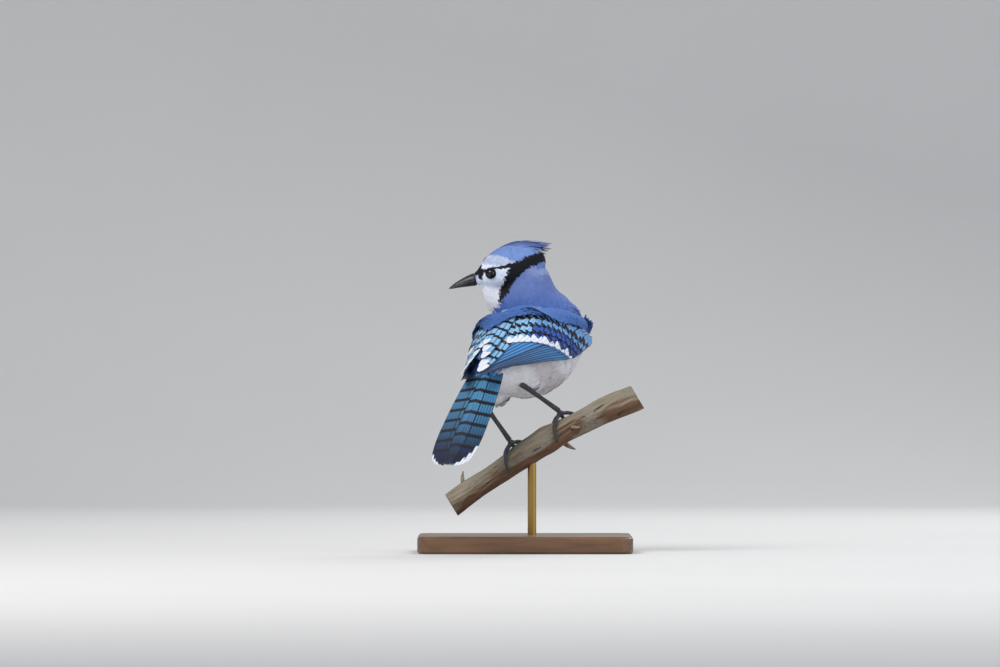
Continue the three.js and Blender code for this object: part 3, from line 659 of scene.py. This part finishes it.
def feather_look(name, roughness):
    """The coat's finish: its own colour with fine variation and a soft sheen."""
    look = Look(name)
    shade = look.add("ShaderNodeAttribute", {"attribute_name": "shade"}).outputs["Color"]
    fine = look.noise(2600.0, 2.0)
    mottle = look.plus(look.noise(300.0, 4.0), look.times(fine, 0.4))
    strength = look.span(mottle, 0.35, 1.05, 0.84, 1.1)
    scaled = look.add("ShaderNodeVectorMath", {"operation": "SCALE"}, Vector=shade, Scale=strength)
    look.bump(fine, 0.25, 0.0004)
    rough = look.span(fine, 0.0, 1.0, roughness - 0.08, roughness + 0.12)
    colour = scaled.outputs[0]
    return look.finish(colour, rough, Sheen_Weight=0.04, Sheen_Roughness=0.5, Specular_IOR_Level=0.2)


coat_look = feather_look("coat_feathers", 0.72)

skin = make_skin()
set_colour(skin, "shade", plumage(skin_places(skin)))
dressed(skin, coat_look, "body_feathers", "torso", "neck", "head", "thigh_left", "thigh_right")

roots, outs = skin_samples(skin)
ways = lie_at(roots, outs)
length, half, _ = feather_size(roots)
count = len(roots)
vary = chance.uniform(0.8, 1.2, (3, count))
ways = unit(ways + np.cross(outs, ways) * chance.normal(0, 0.12, count)[:, None])
colours = plumage(roots + ways * (length * 0.5)[:, None])
colours = np.clip(colours * chance.uniform(0.94, 1.05, (count, 1)), 0, 1)
length, half = length * vary[0], half * vary[1]
lift = np.minimum(0.12 * length, 0.95) * vary[2]
in_head = roots[:, 2] > NECK_TOP
eyes = np.minimum(*(np.linalg.norm(roots - eye_place(side), axis=1) for side in (-1, 1)))
over_tail = ((roots - TAIL_ROOT) @ TAIL_WAY > 1) & ((roots - TAIL_ROOT) @ TAIL_OUT > -4.5)
keep = (eyes > 3.9) & ~over_tail
below = ~in_head & (plumage(roots)[:, 0] > 0.4)
groups = {
    "coat_head": in_head & keep,
    "coat_back": ~in_head & ~below & keep,
    "coat_belly": below & keep,
}
MOST_FEATHERS = 8500
for name, group in groups.items():
    members = np.flatnonzero(group)
    order = members[np.argsort(roots[members, 2], kind="stable")]
    for number, part in enumerate(np.array_split(order, math.ceil(len(order) / MOST_FEATHERS))):
        tips = np.clip(colours[part] * 1.04, 0, 1)
        dressed(
            coat_mesh(f"{name}_{number + 1}", roots[part], outs[part], ways[part], length[part], half[part],
                      lift[part], colours[part] * 0.97, tips),
            coat_look, "head_feathers" if name == "coat_head" else "body_feathers",
        )


# Vanes for the wings, tail and crest
COLUMNS = 5
# A start of white past the tip, for vanes without any
NO_WHITE = 1.2
PLAIN_VANE = dict(bars=0.0, white=NO_WHITE, edge=0.0)


def vane_faces(rows):
    """Triangles of a closed vane, of which each row has its upper points before its lower ones."""
    width = 2 * COLUMNS
    faces = []
    for i in range(rows - 1):
        for k in range(COLUMNS - 1):
            a = i * width + k
            faces += [(a, a + 1, a + 1 + width), (a, a + 1 + width, a + width)]
            b = a + COLUMNS
            faces += [(b, b + 1 + width, b + 1), (b, b + width, b + 1 + width)]
        for low, high in ((0, COLUMNS), (width - 1, COLUMNS - 1)):
            a, b = i * width + low, i * width + high
            faces += [(a, a + width, b + width), (a, b + width, b)]
    for i in (0, rows - 1):
        for k in range(COLUMNS - 1):
            a = i * width + k
            quad = (a, a + 1, a + 1 + COLUMNS, a + COLUMNS)
            if i:
                quad = quad[::-1]
            faces += [(quad[0], quad[2], quad[1]), (quad[0], quad[3], quad[2])]
    return np.array(faces)


def vane_mesh(name, shafts):
    """One mesh of thin closed vanes, each from its shaft: places, across, out, half widths and looks."""
    shapes, uvs, styles = [], [], []
    for at, across, out, half, camber, style in shafts:
        reach = np.concatenate([[0], np.cumsum(np.linalg.norm(np.diff(np.array(at), axis=0), axis=1))])
        points = []
        for i, share in enumerate(reach / reach[-1]):
            for face in (1, -1):
                for s in np.linspace(-1, 1, COLUMNS):
                    thick = face * 0.16 * (1 - 0.75 * abs(s))
                    raised = out[i] * (thick - camber * half[i] * s * s)
                    points.append(at[i] + across[i] * s * half[i] + raised)
                    uvs.append(((s + 1) / 2, share))
        shapes.append((np.array(points), vane_faces(len(at))))
        styles += [PLAIN_VANE | style] * len(points)
    piece = mesh_object(name, *joined_mesh(shapes))
    set_uv(piece, "Vane", uvs)
    for key in ("root", "tip"):
        set_colour(piece, key + "_colour", [style[key] for style in styles])
    for key in ("bars", "white", "edge"):
        set_number(piece, key, [style[key] for style in styles])
    return piece


def vane_look():
    """Bars, white tips, dark edges and fine barbs, from the place on each vane."""
    look = Look("barred_vanes")
    place = look.add("ShaderNodeUVMap", {"uv_map": "Vane"}).outputs[0]
    across, along = look.parts(place)[:2]

    def attribute(name, output):
        return look.add("ShaderNodeAttribute", {"attribute_name": name}).outputs[output]

    wobble = look.noise(900.0, 2.0)
    off = look.times(look.math("ABSOLUTE", look.minus(across, 0.5)), 2.0)
    shifted = look.minus(look.plus(along, look.times(wobble, 0.016)), look.times(off, 0.015))
    ends = [attribute(name, "Color") for name in ("root_colour", "tip_colour")]
    colour = look.mix(look.ramp(along, 0.25, 0.95), *ends)
    barbs = look.noise(1.0, 2.0, (9.0, 90.0, 1.0), place)
    pale = look.times(look.ramp(barbs, 0.35, 0.75), 0.35)
    colour = look.mix(pale, colour, (0.9, 0.95, 1.0), "SOFT_LIGHT")
    streak = look.noise(1.0, 2.0, (14.0, 1.5, 1.0), place)
    colour = look.stain(colour, streak, 0.62, 0.4, 0.35, (0.02, 0.03, 0.08))
    count = attribute("bars", "Fac")
    phase = look.math("FRACT", look.times(shifted, count))
    bar = look.times(look.ramp(phase, 0.64, 0.71), look.ramp(phase, 1.0, 0.95))
    bar = look.times(bar, look.math("GREATER_THAN", count, 0.5))
    colour = look.mix(bar, colour, (0.006, 0.007, 0.015))
    ragged = look.plus(along, look.times(look.minus(wobble, 0.5), 0.07))
    start = attribute("white", "Fac")
    white = look.ramp(look.minus(ragged, start), 0.0, 0.02)
    colour = look.mix(white, colour, (0.80, 0.83, 0.9))
    rim = look.ramp(look.plus(off, attribute("edge", "Fac")), 0.97, 1.03)
    rim = look.times(rim, look.minus(1.0, look.times(white, 0.85)))
    colour = look.mix(rim, colour, (0.006, 0.007, 0.016))
    colour = look.stain(colour, off, 0.07, 0.02, 0.55, (0.01, 0.012, 0.03))
    look.bump(barbs, 0.3, 0.0003)
    return look.finish(colour, 0.52, Sheen_Weight=0.1, Specular_IOR_Level=0.35)


vanes_look = vane_look()


def tapered(share, blunt):
    """The half width along a vane, as a share of its widest."""
    share = np.asarray(share, dtype=float)
    grown = 0.7 + 0.3 * np.sin(np.clip(share / 0.5, 0, 1) * math.pi / 2)
    closing = np.sqrt(np.clip(1 - ((share - blunt + 0.32) / (1.003 - blunt + 0.32)) ** 2, 0.0004, 1))
    return np.where(share < blunt - 0.32, grown, grown * closing)


CARRIER = [
    ((-35, -67, 111.5), BODY_RIGHT, (12, 12, 12)),
    ((-25, -50, 119), BODY_RIGHT, (19, 16, 16)),
    ((-16, -34, 126), BODY_RIGHT, (26, 21.5, 22)),
    ((-7, -18, 133), BODY_RIGHT, (32.5, 27.5, 28)),
    ((1, -4, 139), BODY_RIGHT, (35.5, 31.5, 31)),
    ((8, 7, 146), BODY_RIGHT, (35.5, 32, 31)),
    ((14, 18, 152), BODY_RIGHT, (34, 31, 31)),
]
CARRIER_STEPS = 120
carrier_rows = stations_along(CARRIER, CARRIER_STEPS)


def on_carrier(along, angle, lift):
    """A place on the body-shaped surface that the wings lie on, by its angle from the back in degrees."""
    reach = (1 - min(max(along, 0), 1)) * CARRIER_STEPS
    low = min(int(reach), CARRIER_STEPS - 1)
    share = reach - low

    def at(row):
        middle, right, up, (half, above, below) = row
        rise = math.cos(angle * DEG)
        height = (above if rise > 0 else below) + lift
        return middle + right * math.sin(angle * DEG) * (half + lift) + up * rise * height

    return at(carrier_rows[low]) * (1 - share) + at(carrier_rows[low + 1]) * share


def lower_edge(along):
    return 120 - 78 * along * along - 12 * (1 - along) ** 10


def front_edge(angle):
    return 0.05 + 0.48 * max(1 - angle / 112, 0) ** 0.8


# How late the tips of the wing's vanes close
WING_BLUNT = 0.97


def wing_vane(side, start, end, angle, half, lift, rise, steps, style):
    at, across, out, wide = [], [], [], []
    for i in range(steps + 1):
        share = 1 - (1 - i / steps) ** 1.6
        along = start + (end - start) * share

        def spot(s, more=0.0):
            return on_carrier(s, side * angle(s), lift + rise * share + more)

        here = spot(along)
        ahead = unit(spot(along + 0.01) - spot(along - 0.01))
        upward = square_to(ahead, spot(along, 5) - here)
        at.append(here)
        across.append(unit(np.cross(ahead, upward)))
        out.append(upward)
        wide.append(half * float(tapered(share, WING_BLUNT)))
    camber = half / 90
    return at, across, out, wide, camber, style


PRIMARY_BLUE = paint("5093D6")
SLATE = paint("4A6288")
SECONDARY_BLUE = paint("4F98E4")
PALE_AZURE = paint("8CC2F0")
COVERT_BLUE = paint("2D55AC")
CELL_BLUE = paint("6FA6E4")
# Rows of coverts: count, start, end, half width, lift, lower and upper angle, bars, start of white, colour
COVERTS = [
    (14, 0.14, 0.32, 3.9, 3.5, 108, 26, 3, 0.74, COVERT_BLUE),
    (16, 0.08, 0.235, 3.5, 4.2, 109, 20, 3, NO_WHITE, COVERT_BLUE),
    (17, 0.035, 0.165, 3.4, 4.6, 110, 16, 2, NO_WHITE, CELL_BLUE),
    (17, -0.01, 0.1, 3.4, 4.9, 110, 14, 1, NO_WHITE, CELL_BLUE),
]


def wing_vanes(side):
    shafts = []

    def add(*row, **style):
        shafts.append(wing_vane(side, *row, style))

    for i in range(8):
        end = 1 - 0.2 * abs(i - 4) ** 1.3 / 6 - 0.02 * (i > 4)
        inset = 4 + 4 * i
        add(0.16, end, lambda s, inset=inset: lower_edge(s) - inset * (1 - 0.25 * s),
            3.2, 0.2 + 0.24 * i, 0, 26, root=PRIMARY_BLUE * (0.9 + 0.2 * (i % 2)), tip=SLATE, edge=0.12)
    for i in range(8):
        inset = 36 + 6.2 * i
        add(0.24, 0.93 - 0.008 * i, lambda s, inset=inset: max(lower_edge(s) - inset * (1 - 0.28 * s), 24),
            4.2, 2.1 + 0.2 * i, 0, 26, root=SECONDARY_BLUE * (0.92 + 0.16 * (i % 2)), tip=PRIMARY_BLUE,
            edge=0.09, white=0.955 if i > 3 else NO_WHITE)
    over = 1.7 if side > 0 else 0
    for i, end in enumerate((0.97, 0.93, 0.88, 0.82, 0.75)):
        add(0.42, end, lambda s, i=i: 31 - 6.5 * i - 4 * max(s - 0.6, 0), 4.6 - 0.1 * i,
            3.6 + 0.28 * i + over * (i > 1), 0, 30, root=PALE_AZURE, tip=PALE_AZURE, bars=8 - 0.7 * i,
            edge=0.1, white=0.85)
    for number, start, end, half, lift, low, high, bars, white, outer in COVERTS:
        for i in range(number):
            spread = (i + 0.3 * chance.random()) / (number - 1)
            angle = low + (high - low) * spread
            front = front_edge(angle)
            begin = front + start - 0.02 * spread
            root = PALE_AZURE if spread > 0.66 else outer
            finish = front + end - 0.02 * spread
            add(begin, finish, lambda s, angle=angle, begin=begin: angle - 22 * (s - begin), half,
                lift + 0.12 * (i % 2), 0.3, 12, root=root, tip=root * 1.15, bars=bars, edge=0.2, white=white)
    return shafts


def wing_arm(side):
    """The arm under the feathers, as a closed plate on the carrier."""
    rings = []
    for i in range(31):
        angle = 6 + 104 * i / 30
        ring = []
        for face in (1, 0):
            for j in range(15):
                share = j / 14 if face else 1 - j / 14
                edge = math.sqrt(math.sin(math.pi * (0.04 + 0.86 * share)))
                along = front_edge(angle) + 0.3 * share
                ring.append(on_carrier(along, side * angle, 3.2 * edge if face else -0.6))
        rings.append(ring)
    return ring_mesh(np.array(rings))


def mantle_edge(side):
    """Roots and directions of the feathers that lead from the back over the front of a wing."""
    roots, outs, ways = [], [], []
    for row in range(13):
        share = row / 12
        for k in range(76):
            turn = 103 * (k + chance.uniform(-0.4, 0.4)) / 75
            angle = side * turn
            along = front_edge(abs(angle)) - 0.2 + (0.24 - 0.15 * turn / 108) * share
            along += chance.uniform(-0.008, 0.008)
            high = 6.1 + 1.2 * float(smooth(50, 20, turn)) - 2.6 * float(smooth(80, 103, turn))
            lift = -0.4 + high * float(smooth(-0.1, 0.62, share))
            here = on_carrier(along, angle, lift)
            upward = unit(on_carrier(along, angle, lift + 5) - here)
            ahead = unit(on_carrier(along + 0.03, angle * 0.985, lift + 0.6) - here)
            roots.append(here)
            outs.append(square_to(ahead, upward))
            ways.append(ahead)
    return np.array(roots), np.array(outs), np.array(ways)


arm_look = feather_look("wing_arm_feathers", 0.7)
for side, word in SIDES:
    places, outward, lying = mantle_edge(side)
    number = len(places)
    low = smooth(150, 138, places[:, 2]) * smooth(20, 34, places[:, 0])
    tone = blend(blend(MANTLE, AZURE, 0.1) * np.ones((number, 3)), paint("3A62B0"), low)
    tone = tone * chance.uniform(0.93, 1.05, (number, 1))
    dressed(
        coat_mesh("coat_mantle_" + word, places, outward, lying, chance.uniform(6.5, 9, number),
                  chance.uniform(1.5, 2, number), np.full(number, 0.3), tone, tone * 1.04),
        coat_look, "body_feathers",
    )
for side, word in SIDES:
    arm = mesh_object("wing_arm_" + word, *wing_arm(side))
    set_colour(arm, "shade", np.tile(CELL_BLUE * 0.8, (len(arm.data.vertices), 1)))
    dressed(arm, arm_look, "flight_feathers")
    wing = vane_mesh("wing_vanes_" + word, wing_vanes(side))
    dressed(wing, vanes_look, "flight_feathers", "wing_" + word)

# Tail
TAIL_CYAN = paint("4489B4")
TAIL_NAVY = paint("05103A")


def tail_vanes():
    shafts = []
    for side in (-1, 1):
        for i in range(6):
            out = i / 5
            length = TAIL_LENGTH - 5 * out**3
            spread = 10.4 * out
            at, wide = [], []
            for k in range(31):
                share = 1 - (1 - k / 30) ** 1.5
                aside = side * (1.3 + spread * (0.72 + 0.28 * math.sqrt(share)))
                lift = 1.0 - 0.42 * i - (0.2 if side < 0 else 0)
                at.append(TAIL_ROOT + TAIL_WAY * (length * share) + TAIL_ASIDE * aside + TAIL_OUT * lift)
                wide.append(6 * float(tapered(share, 0.95)) * (0.8 + 0.2 * share))
            bars = (8.6 if side > 0 else 9.3) * length / TAIL_LENGTH
            style = dict(root=TAIL_CYAN, tip=TAIL_NAVY * 0.7, bars=bars, edge=0.14 if i == 0 else 0.03,
                         white=1.0 - (0.19 if side > 0 else 0.08) * out**1.5 if i else 0.99)
            shafts.append((at, [TAIL_ASIDE] * 31, [TAIL_OUT] * 31, wide, 0.03, style))
    return shafts


tail = vane_mesh("tail_vanes", tail_vanes())
dressed(tail, vanes_look, "flight_feathers", "tail")


# Crest: rows of longer feathers from the crown back to the tips
def crest_vanes():
    shafts = []
    rows = (
        (15, 11.5, 1, 11, -22.5, 3, 1.15),
        (12, 10, 5, 12.5, -25, 6, 0.95),
        (11, 8.5, 9, 13.4, -27, 8.5, 0.75),
        (9, 6.5, 13, 13.6, -29, 10.2, 0.55),
        (7, 4, 17, 12, -31, 11.2, 0.35),
    )
    for number, spread, reach, height, tip, tip_height, slant in rows:
        for i in range(number):
            side = 2 * i / (number - 1) - 1
            end = tip + 3.5 * abs(side) + chance.uniform(-1.3, 1.3)
            at, across, out, wide = [], [], [], []
            for k in range(13):
                share = k / 12
                aside = spread * side * (1 - 0.72 * share)
                arch = 6.8 * math.sin(math.pi * share) * (1 - 0.25 * abs(side))
                lift = height + (tip_height - height) * share + arch - 2.6 * abs(side) * (1 - share)
                face = unit(HEAD_UP + HEAD_RIGHT * slant * side)
                at.append(head_place(reach + (end - reach) * share, aside, lift))
                across.append(square_to(face, HEAD_RIGHT))
                out.append(face)
                wide.append(1.9 * float(tapered(share, 0.72)))
            tone = chance.uniform(0.85, 1.15)
            style = dict(root=CROWN * tone, tip=paint("6F86CE") * tone, edge=0.06)
            shafts.append((at, across, out, wide, 0.1, style))
            # Black vanes below the middle crest feathers are painted shade under the crest
            if abs(side) > 0.6:
                continue
            painted_shade_under_crest = dict(root=BLACK, tip=BLACK, edge=0.0)
            lower = []
            for k, place in enumerate(at):
                lower.append(place - HEAD_UP * (0.9 + 2.4 * k / 12) + HEAD_FORWARD * 1.5)
            shafts.append((lower, across, out, wide, 0.1, painted_shade_under_crest))
    return shafts


crest = vane_mesh("crest_vanes", crest_vanes())
dressed(crest, vanes_look, "head_feathers")

# Bill
BILL_ROOT = head_place(24.4, 0, -1.4)
BILL_LENGTH = 22
UPPER_BILL = [
    (0, 4.2, 4.2), (0.15, 4.6, 4.9), (0.35, 3.9, 4.2), (0.57, 3, 3.2),
    (0.78, 2, 2.2), (0.94, 0.9, 1), (1, 0.35, 0.4),
]
LOWER_BILL = [
    (0, 3.4, 3), (0.15, 4, 4), (0.4, 3.2, 3.1),
    (0.65, 2.2, 1.9), (0.87, 1.1, 0.8), (0.95, 0.4, 0.4),
]


def bill_half(sizes, side):
    reaches, halves, heights = zip(*sizes)
    rings = []
    for share in np.linspace(0, reaches[-1], 26):
        half, height = np.interp(share, reaches, halves), np.interp(share, reaches, heights)
        at = BILL_ROOT + HEAD_FORWARD * share * BILL_LENGTH + HEAD_UP * (-2.2 * share**2.2)
        ring = []
        for j in range(19):
            angle = math.pi * j / 18
            rise = math.sin(angle) * height + 0.06
            ring.append(at + HEAD_RIGHT * math.cos(angle) * half + HEAD_UP * side * rise)
        rings.append(ring)
    return ring_mesh(np.array(rings))


def horn_look():
    look = Look("bill_horn")
    streaks = look.noise(120.0, 3.0)
    colour = look.mix(look.ramp(streaks, 0.35, 0.7), paint("131519"), paint("2A2D33"))
    look.bump(look.noise(1500.0, 2.0), 0.12, 0.0003)
    rough = look.plus(look.times(streaks, 0.25), 0.25)
    return look.finish(colour, rough, Specular_IOR_Level=0.5)


horn = horn_look()
for name, sizes, side in (("bill_upper", UPPER_BILL, 1), ("bill_lower", LOWER_BILL, -1)):
    dressed(mesh_object(name + "_horn", *bill_half(sizes, side)), horn, "bill", name)


# Eyes, each with a thin ring of lid
def eye_look():
    look = Look("eye_gloss")
    place = look.add("ShaderNodeTexCoord").outputs["UV"]
    reach = look.parts(place)[1]
    flecks = look.noise(1800.0, 3.0)
    iris = look.mix(flecks, paint("0C0604"), paint("20110B"))
    colour = look.mix(look.ramp(reach, 0.74, 0.78), iris, (0.002, 0.002, 0.003))
    return look.finish(colour, 0.08, Coat_Weight=0.3, Coat_Roughness=0.03, Specular_IOR_Level=0.35)


eye_gloss = eye_look()
lid_look = feather_look("lid_skin", 0.6)


def across_axis(axis):
    aside = unit(np.cross(axis, vec(0.3, 0.2, 1)))
    return aside, np.cross(axis, aside)


def ball_mesh(centre, radius, pole, rings=20, sides=32):
    aside, other = across_axis(pole)
    points, uvs = [], []
    for i in range(rings + 1):
        turn = math.pi * i / rings
        for j in range(sides):
            spin = 2 * math.pi * j / sides
            flat = aside * math.cos(spin) + other * math.sin(spin)
            points.append(centre + radius * (flat * math.sin(max(turn, 0.02)) - pole * math.cos(turn)))
            uvs.append((j / sides, i / rings))
    a, b = wrapped_grid(rings, sides)
    return np.array(points), np.stack([a, a + sides, b + sides, b], -1).reshape(-1, 4), np.array(uvs)


def ring_round(centre, axis, radius, thick, sides=36, around=10):
    aside, other = across_axis(axis)
    points = []
    for i in range(sides):
        spin = 2 * math.pi * i / sides
        out = aside * math.cos(spin) + other * math.sin(spin)
        for j in range(around):
            turn = 2 * math.pi * j / around
            points.append(centre + out * (radius + thick * math.cos(turn)) + axis * thick * math.sin(turn))
    a, b = wrapped_grid(sides, around)
    faces = np.stack([a, a + around, b + around, b], -1).reshape(-1, 4)
    return np.array(points), faces % len(points)


for side, word in SIDES:
    centre = eye_place(side)
    pole = unit(HEAD_RIGHT * side + HEAD_FORWARD * 0.18)
    points, faces, uvs = ball_mesh(centre, 3.45, pole)
    ball = mesh_object("eye_ball_" + word, points, faces)
    set_uv(ball, "Place", uvs)
    dressed(ball, eye_gloss, "eye", "eye_" + word)
    ring = mesh_object("eye_ring_" + word, *ring_round(centre + pole * 1.5, pole, 3.45, 0.5))
    set_colour(ring, "shade", np.tile(paint("15171E"), (len(ring.data.vertices), 1)))
    dressed(ring, lid_look, "head_feathers")


# Branch
SLOPE = 31 * DEG
BRANCH_ALONG = vec(math.cos(SLOPE), 0, math.sin(SLOPE))
BRANCH_UP = vec(-math.sin(SLOPE), 0, math.cos(SLOPE))
BRANCH_OUT = vec(0, 1, 0)
BRANCH_MIDDLE = vec(0, -20, 68.3)
BRANCH_RADIUS = 8.6
LOW_REACH, HIGH_REACH = -62, 88
# Long cracks in the bark: middle along the branch, half length and place round it
CRACKS = [
    (-30, 22, 4.3), (40, 30, 5.0), (10, 16, 3.8), (62, 14, 4.2),
    (-5, 12, 5.3), (-48, 14, 5.1), (30, 12, 4.55),
]
# Cut stubs: place along the branch, degrees round it, length and radius
STUBS = [(27, 150, 9, 1.6), (38, -100, 12, 1.7), (-48, 20, 7, 1.3)]


def branch_point(reach, angle, radius):
    sag = 1.1 * np.sin((reach + 10) / 24) - 0.0006 * reach * reach
    middle = BRANCH_MIDDLE + BRANCH_ALONG * reach + BRANCH_UP * sag
    return middle + BRANCH_UP * math.cos(angle) * radius + BRANCH_OUT * math.sin(angle) * radius


def branch_radius(reach, angle):
    swelling = 0.5 * math.sin(reach / 11 + 1) + 0.9 * math.exp(-(((reach - 19) / 7) ** 2))
    ridges = 0.3 * math.sin(3 * angle + reach / 9) + 0.2 * math.sin(5 * angle - reach / 6)
    twist = angle + 0.12 * math.sin(reach / 7) + 0.05 * math.sin(reach / 2.3)
    fine = 0.1 * math.sin(9 * twist) + 0.07 * math.sin(17 * twist + reach / 12)
    crack = 0.0
    for centre, length, turn in CRACKS:
        around = (angle - turn - 0.1 * math.sin(reach / 6) + math.pi) % (2 * math.pi) - math.pi
        crack -= 0.55 * math.exp(-((around / 0.06) ** 2) - ((reach - centre) / length) ** 2)
    return BRANCH_RADIUS - 0.15 + swelling + ridges + reach * 0.006 + fine + crack


def branch_parts():
    rings = []
    for reach in np.linspace(LOW_REACH, HIGH_REACH, 201):
        angles = 2 * math.pi * np.arange(84) / 84
        rings.append([branch_point(reach, angle, branch_radius(reach, angle)) for angle in angles])
    parts = [ring_mesh(np.array(rings))]
    for reach, angle, length, radius in STUBS:
        angle *= DEG
        places = []
        for ahead, outward, share in ((0, -3, 1.3), (2, length * 0.4, 1), (5, length, 0.3)):
            at = branch_point(reach + ahead, angle, BRANCH_RADIUS + outward)
            places.append((at, BRANCH_OUT + 0.1, (radius * share,) * 3))
        parts.append(ring_mesh(loft_rings(stations_along(places, 14), 12)))
    return parts


def bark_look():
    look = Look("branch_bark")
    place = look.add("ShaderNodeTexCoord").outputs["Object"]
    turned = look.add("ShaderNodeMapping", {"vector_type": "TEXTURE"}, Rotation=(0, -SLOPE, 0), Vector=place)
    along = turned.outputs[0]
    grain = look.noise(70.0, 8.0, (1.0, 7.0, 7.0), along)
    patches = look.noise(40.0, 4.0, (1.0, 1.8, 1.8), along)
    cells = look.noise(420.0, 5.0, (1.0, 2.5, 2.5), along)
    # Painted light and shade: the bark is paler tan where its surface faces up and darker rust where it
    # faces down
    upward = look.parts(look.add("ShaderNodeNewGeometry").outputs["Normal"])[2]
    painted_light_top = look.ramp(look.plus(upward, look.times(patches, 0.6)), 0.1, 0.7)
    tan = look.mix(grain, paint("5E5548"), paint("AEA28C"))
    rust = look.mix(grain, paint("33271F"), paint("866650"))
    colour = look.mix(painted_light_top, rust, tan)
    grey = look.mix(cells, paint("5E5850"), paint("A39C8E"))
    colour = look.stain(colour, patches, 0.5, 0.62, 0.8, grey)
    cracks = look.plus(grain, look.times(cells, 0.25))
    colour = look.stain(colour, cracks, 0.5, 0.42, 0.8, paint("1E1611"))
    look.bump(look.plus(grain, look.times(cells, 0.5)), 0.8, 0.0009)
    return look.finish(colour, 0.85, Specular_IOR_Level=0.2)


branch = mesh_object("branch_bark_piece", *joined_mesh(branch_parts()))
dressed(branch, bark_look(), "bark", "perch_branch")


# Legs and feet keep their solids, with scaly skin
def leg_look():
    look = Look("leg_scales")
    cells = look.add("ShaderNodeTexVoronoi", {"feature": "DISTANCE_TO_EDGE"}, Scale=900.0)
    scales = cells.outputs["Distance"]
    spread = look.noise(300.0, 3.0)
    colour = look.mix(spread, paint("1C1B1F"), paint("5A5860"))
    colour = look.mix(look.ramp(scales, 0.08, 0.0), colour, (0.006, 0.006, 0.007))
    look.bump(scales, 0.5, 0.0004)
    return look.finish(colour, 0.5, Specular_IOR_Level=0.4)


def wood_look():
    look = Look("stand_wood")
    grain = look.noise(9.0, 6.0, (1.0, 9.0, 9.0))
    rings = look.noise(60.0, 3.0, (0.6, 6.0, 6.0))
    colour = look.mix(grain, paint("4A3020"), paint("8A6544"))
    colour = look.stain(colour, rings, 0.45, 0.7, 0.35, paint("2A1A10"))
    look.bump(rings, 0.15, 0.0004)
    return look.finish(colour, 0.42, Coat_Weight=0.25, Coat_Roughness=0.3)


def rod_look():
    look = Look("stand_rod_brass")
    brushed = look.noise(300.0, 3.0, (1.0, 1.0, 0.05))
    colour = look.mix(brushed, paint("8C6E38"), paint("C8A562"))
    rough = look.plus(look.times(brushed, 0.2), 0.28)
    look.bump(brushed, 0.1, 0.0002)
    return look.finish(colour, rough, Metallic=1.0)


def redress(node, material):
    """Gives a node of the frame another material."""
    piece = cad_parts[node]
    piece.data.materials.clear()
    piece.data.materials.append(material)


scaly = leg_look()
for word in ("left", "right"):
    redress("tarsus_" + word, scaly)
    redress("foot_" + word, scaly)
redress("stand_base", wood_look())
redress("stand_rod", rod_look())

# Floor that curves up into a plain backdrop
FLOOR_FRONT, FLOOR_DEPTH = -6000, 1600
FLOOR_CURVE = 900
FLOOR_SIDE, WALL_TOP = 5000, 5000
floor_rows = [(y, 0.0) for y in np.linspace(FLOOR_FRONT, FLOOR_DEPTH, 12)]
for turn in np.linspace(0, 90 * DEG, 24)[1:]:
    floor_rows.append((FLOOR_DEPTH + FLOOR_CURVE * math.sin(turn), FLOOR_CURVE * (1 - math.cos(turn))))
floor_rows.append((FLOOR_DEPTH + FLOOR_CURVE, WALL_TOP))
floor_points = [(x, y, z) for y, z in floor_rows for x in (-FLOOR_SIDE, FLOOR_SIDE)]
floor_faces = [(2 * i, 2 * i + 1, 2 * i + 3, 2 * i + 2) for i in range(len(floor_rows) - 1)]
floor = mesh_object("floor", floor_points, floor_faces)
floor_look = Look("floor_pale")
floor_colour = floor_look.mix(floor_look.noise(3.0, 3.0), (0.68, 0.675, 0.66), (0.73, 0.725, 0.71))
floor.data.materials.append(floor_look.finish(floor_colour, 0.75))
floor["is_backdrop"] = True

# Soft studio light
world = bpy.data.worlds.new("studio")
bpy.context.scene.world = world
world.use_nodes = True
sky = world.node_tree.nodes["Background"].inputs
sky["Color"].default_value = (0.86, 0.9, 1.0, 1.0)
sky["Strength"].default_value = 0.45


def area_light(name, place, target, size, power, colour):
    light = bpy.data.lights.new(name, "AREA")
    light.size = size
    light.energy = power
    light.color = colour
    lamp = linked(name, light)
    lamp.location = place
    lamp.rotation_euler = (Vector(target) - Vector(place)).to_track_quat("-Z", "Y").to_euler()


area_light("key", (-0.9, -1.1, 1.5), (0, 0, 0.15), 1.0, 26, (1.0, 0.98, 0.95))
area_light("fill", (1.5, -0.9, 0.7), (0, 0, 0.12), 1.2, 9, (0.9, 0.95, 1.0))
area_light("back", (0.6, 1.2, 1.3), (0, 0, 0.15), 0.9, 14, (1.0, 1.0, 1.0))

# Camera: level with the bird, far off on a long lens, looking along +Y
CAMERA_DISTANCE = 6.0
VIEW_WIDTH = 0.7
camera_data = bpy.data.cameras.new("camera")
camera_data.sensor_width = 36
camera_data.lens = camera_data.sensor_width * CAMERA_DISTANCE / VIEW_WIDTH
camera = linked("camera", camera_data)
camera.location = (-0.0175, -CAMERA_DISTANCE, 0.153)
camera.rotation_euler = (90 * DEG, 0, 0)
camera_data.clip_end = 100
bpy.context.scene.camera = camera
bpy.context.scene.view_settings.view_transform = "Standard"

low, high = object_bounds()
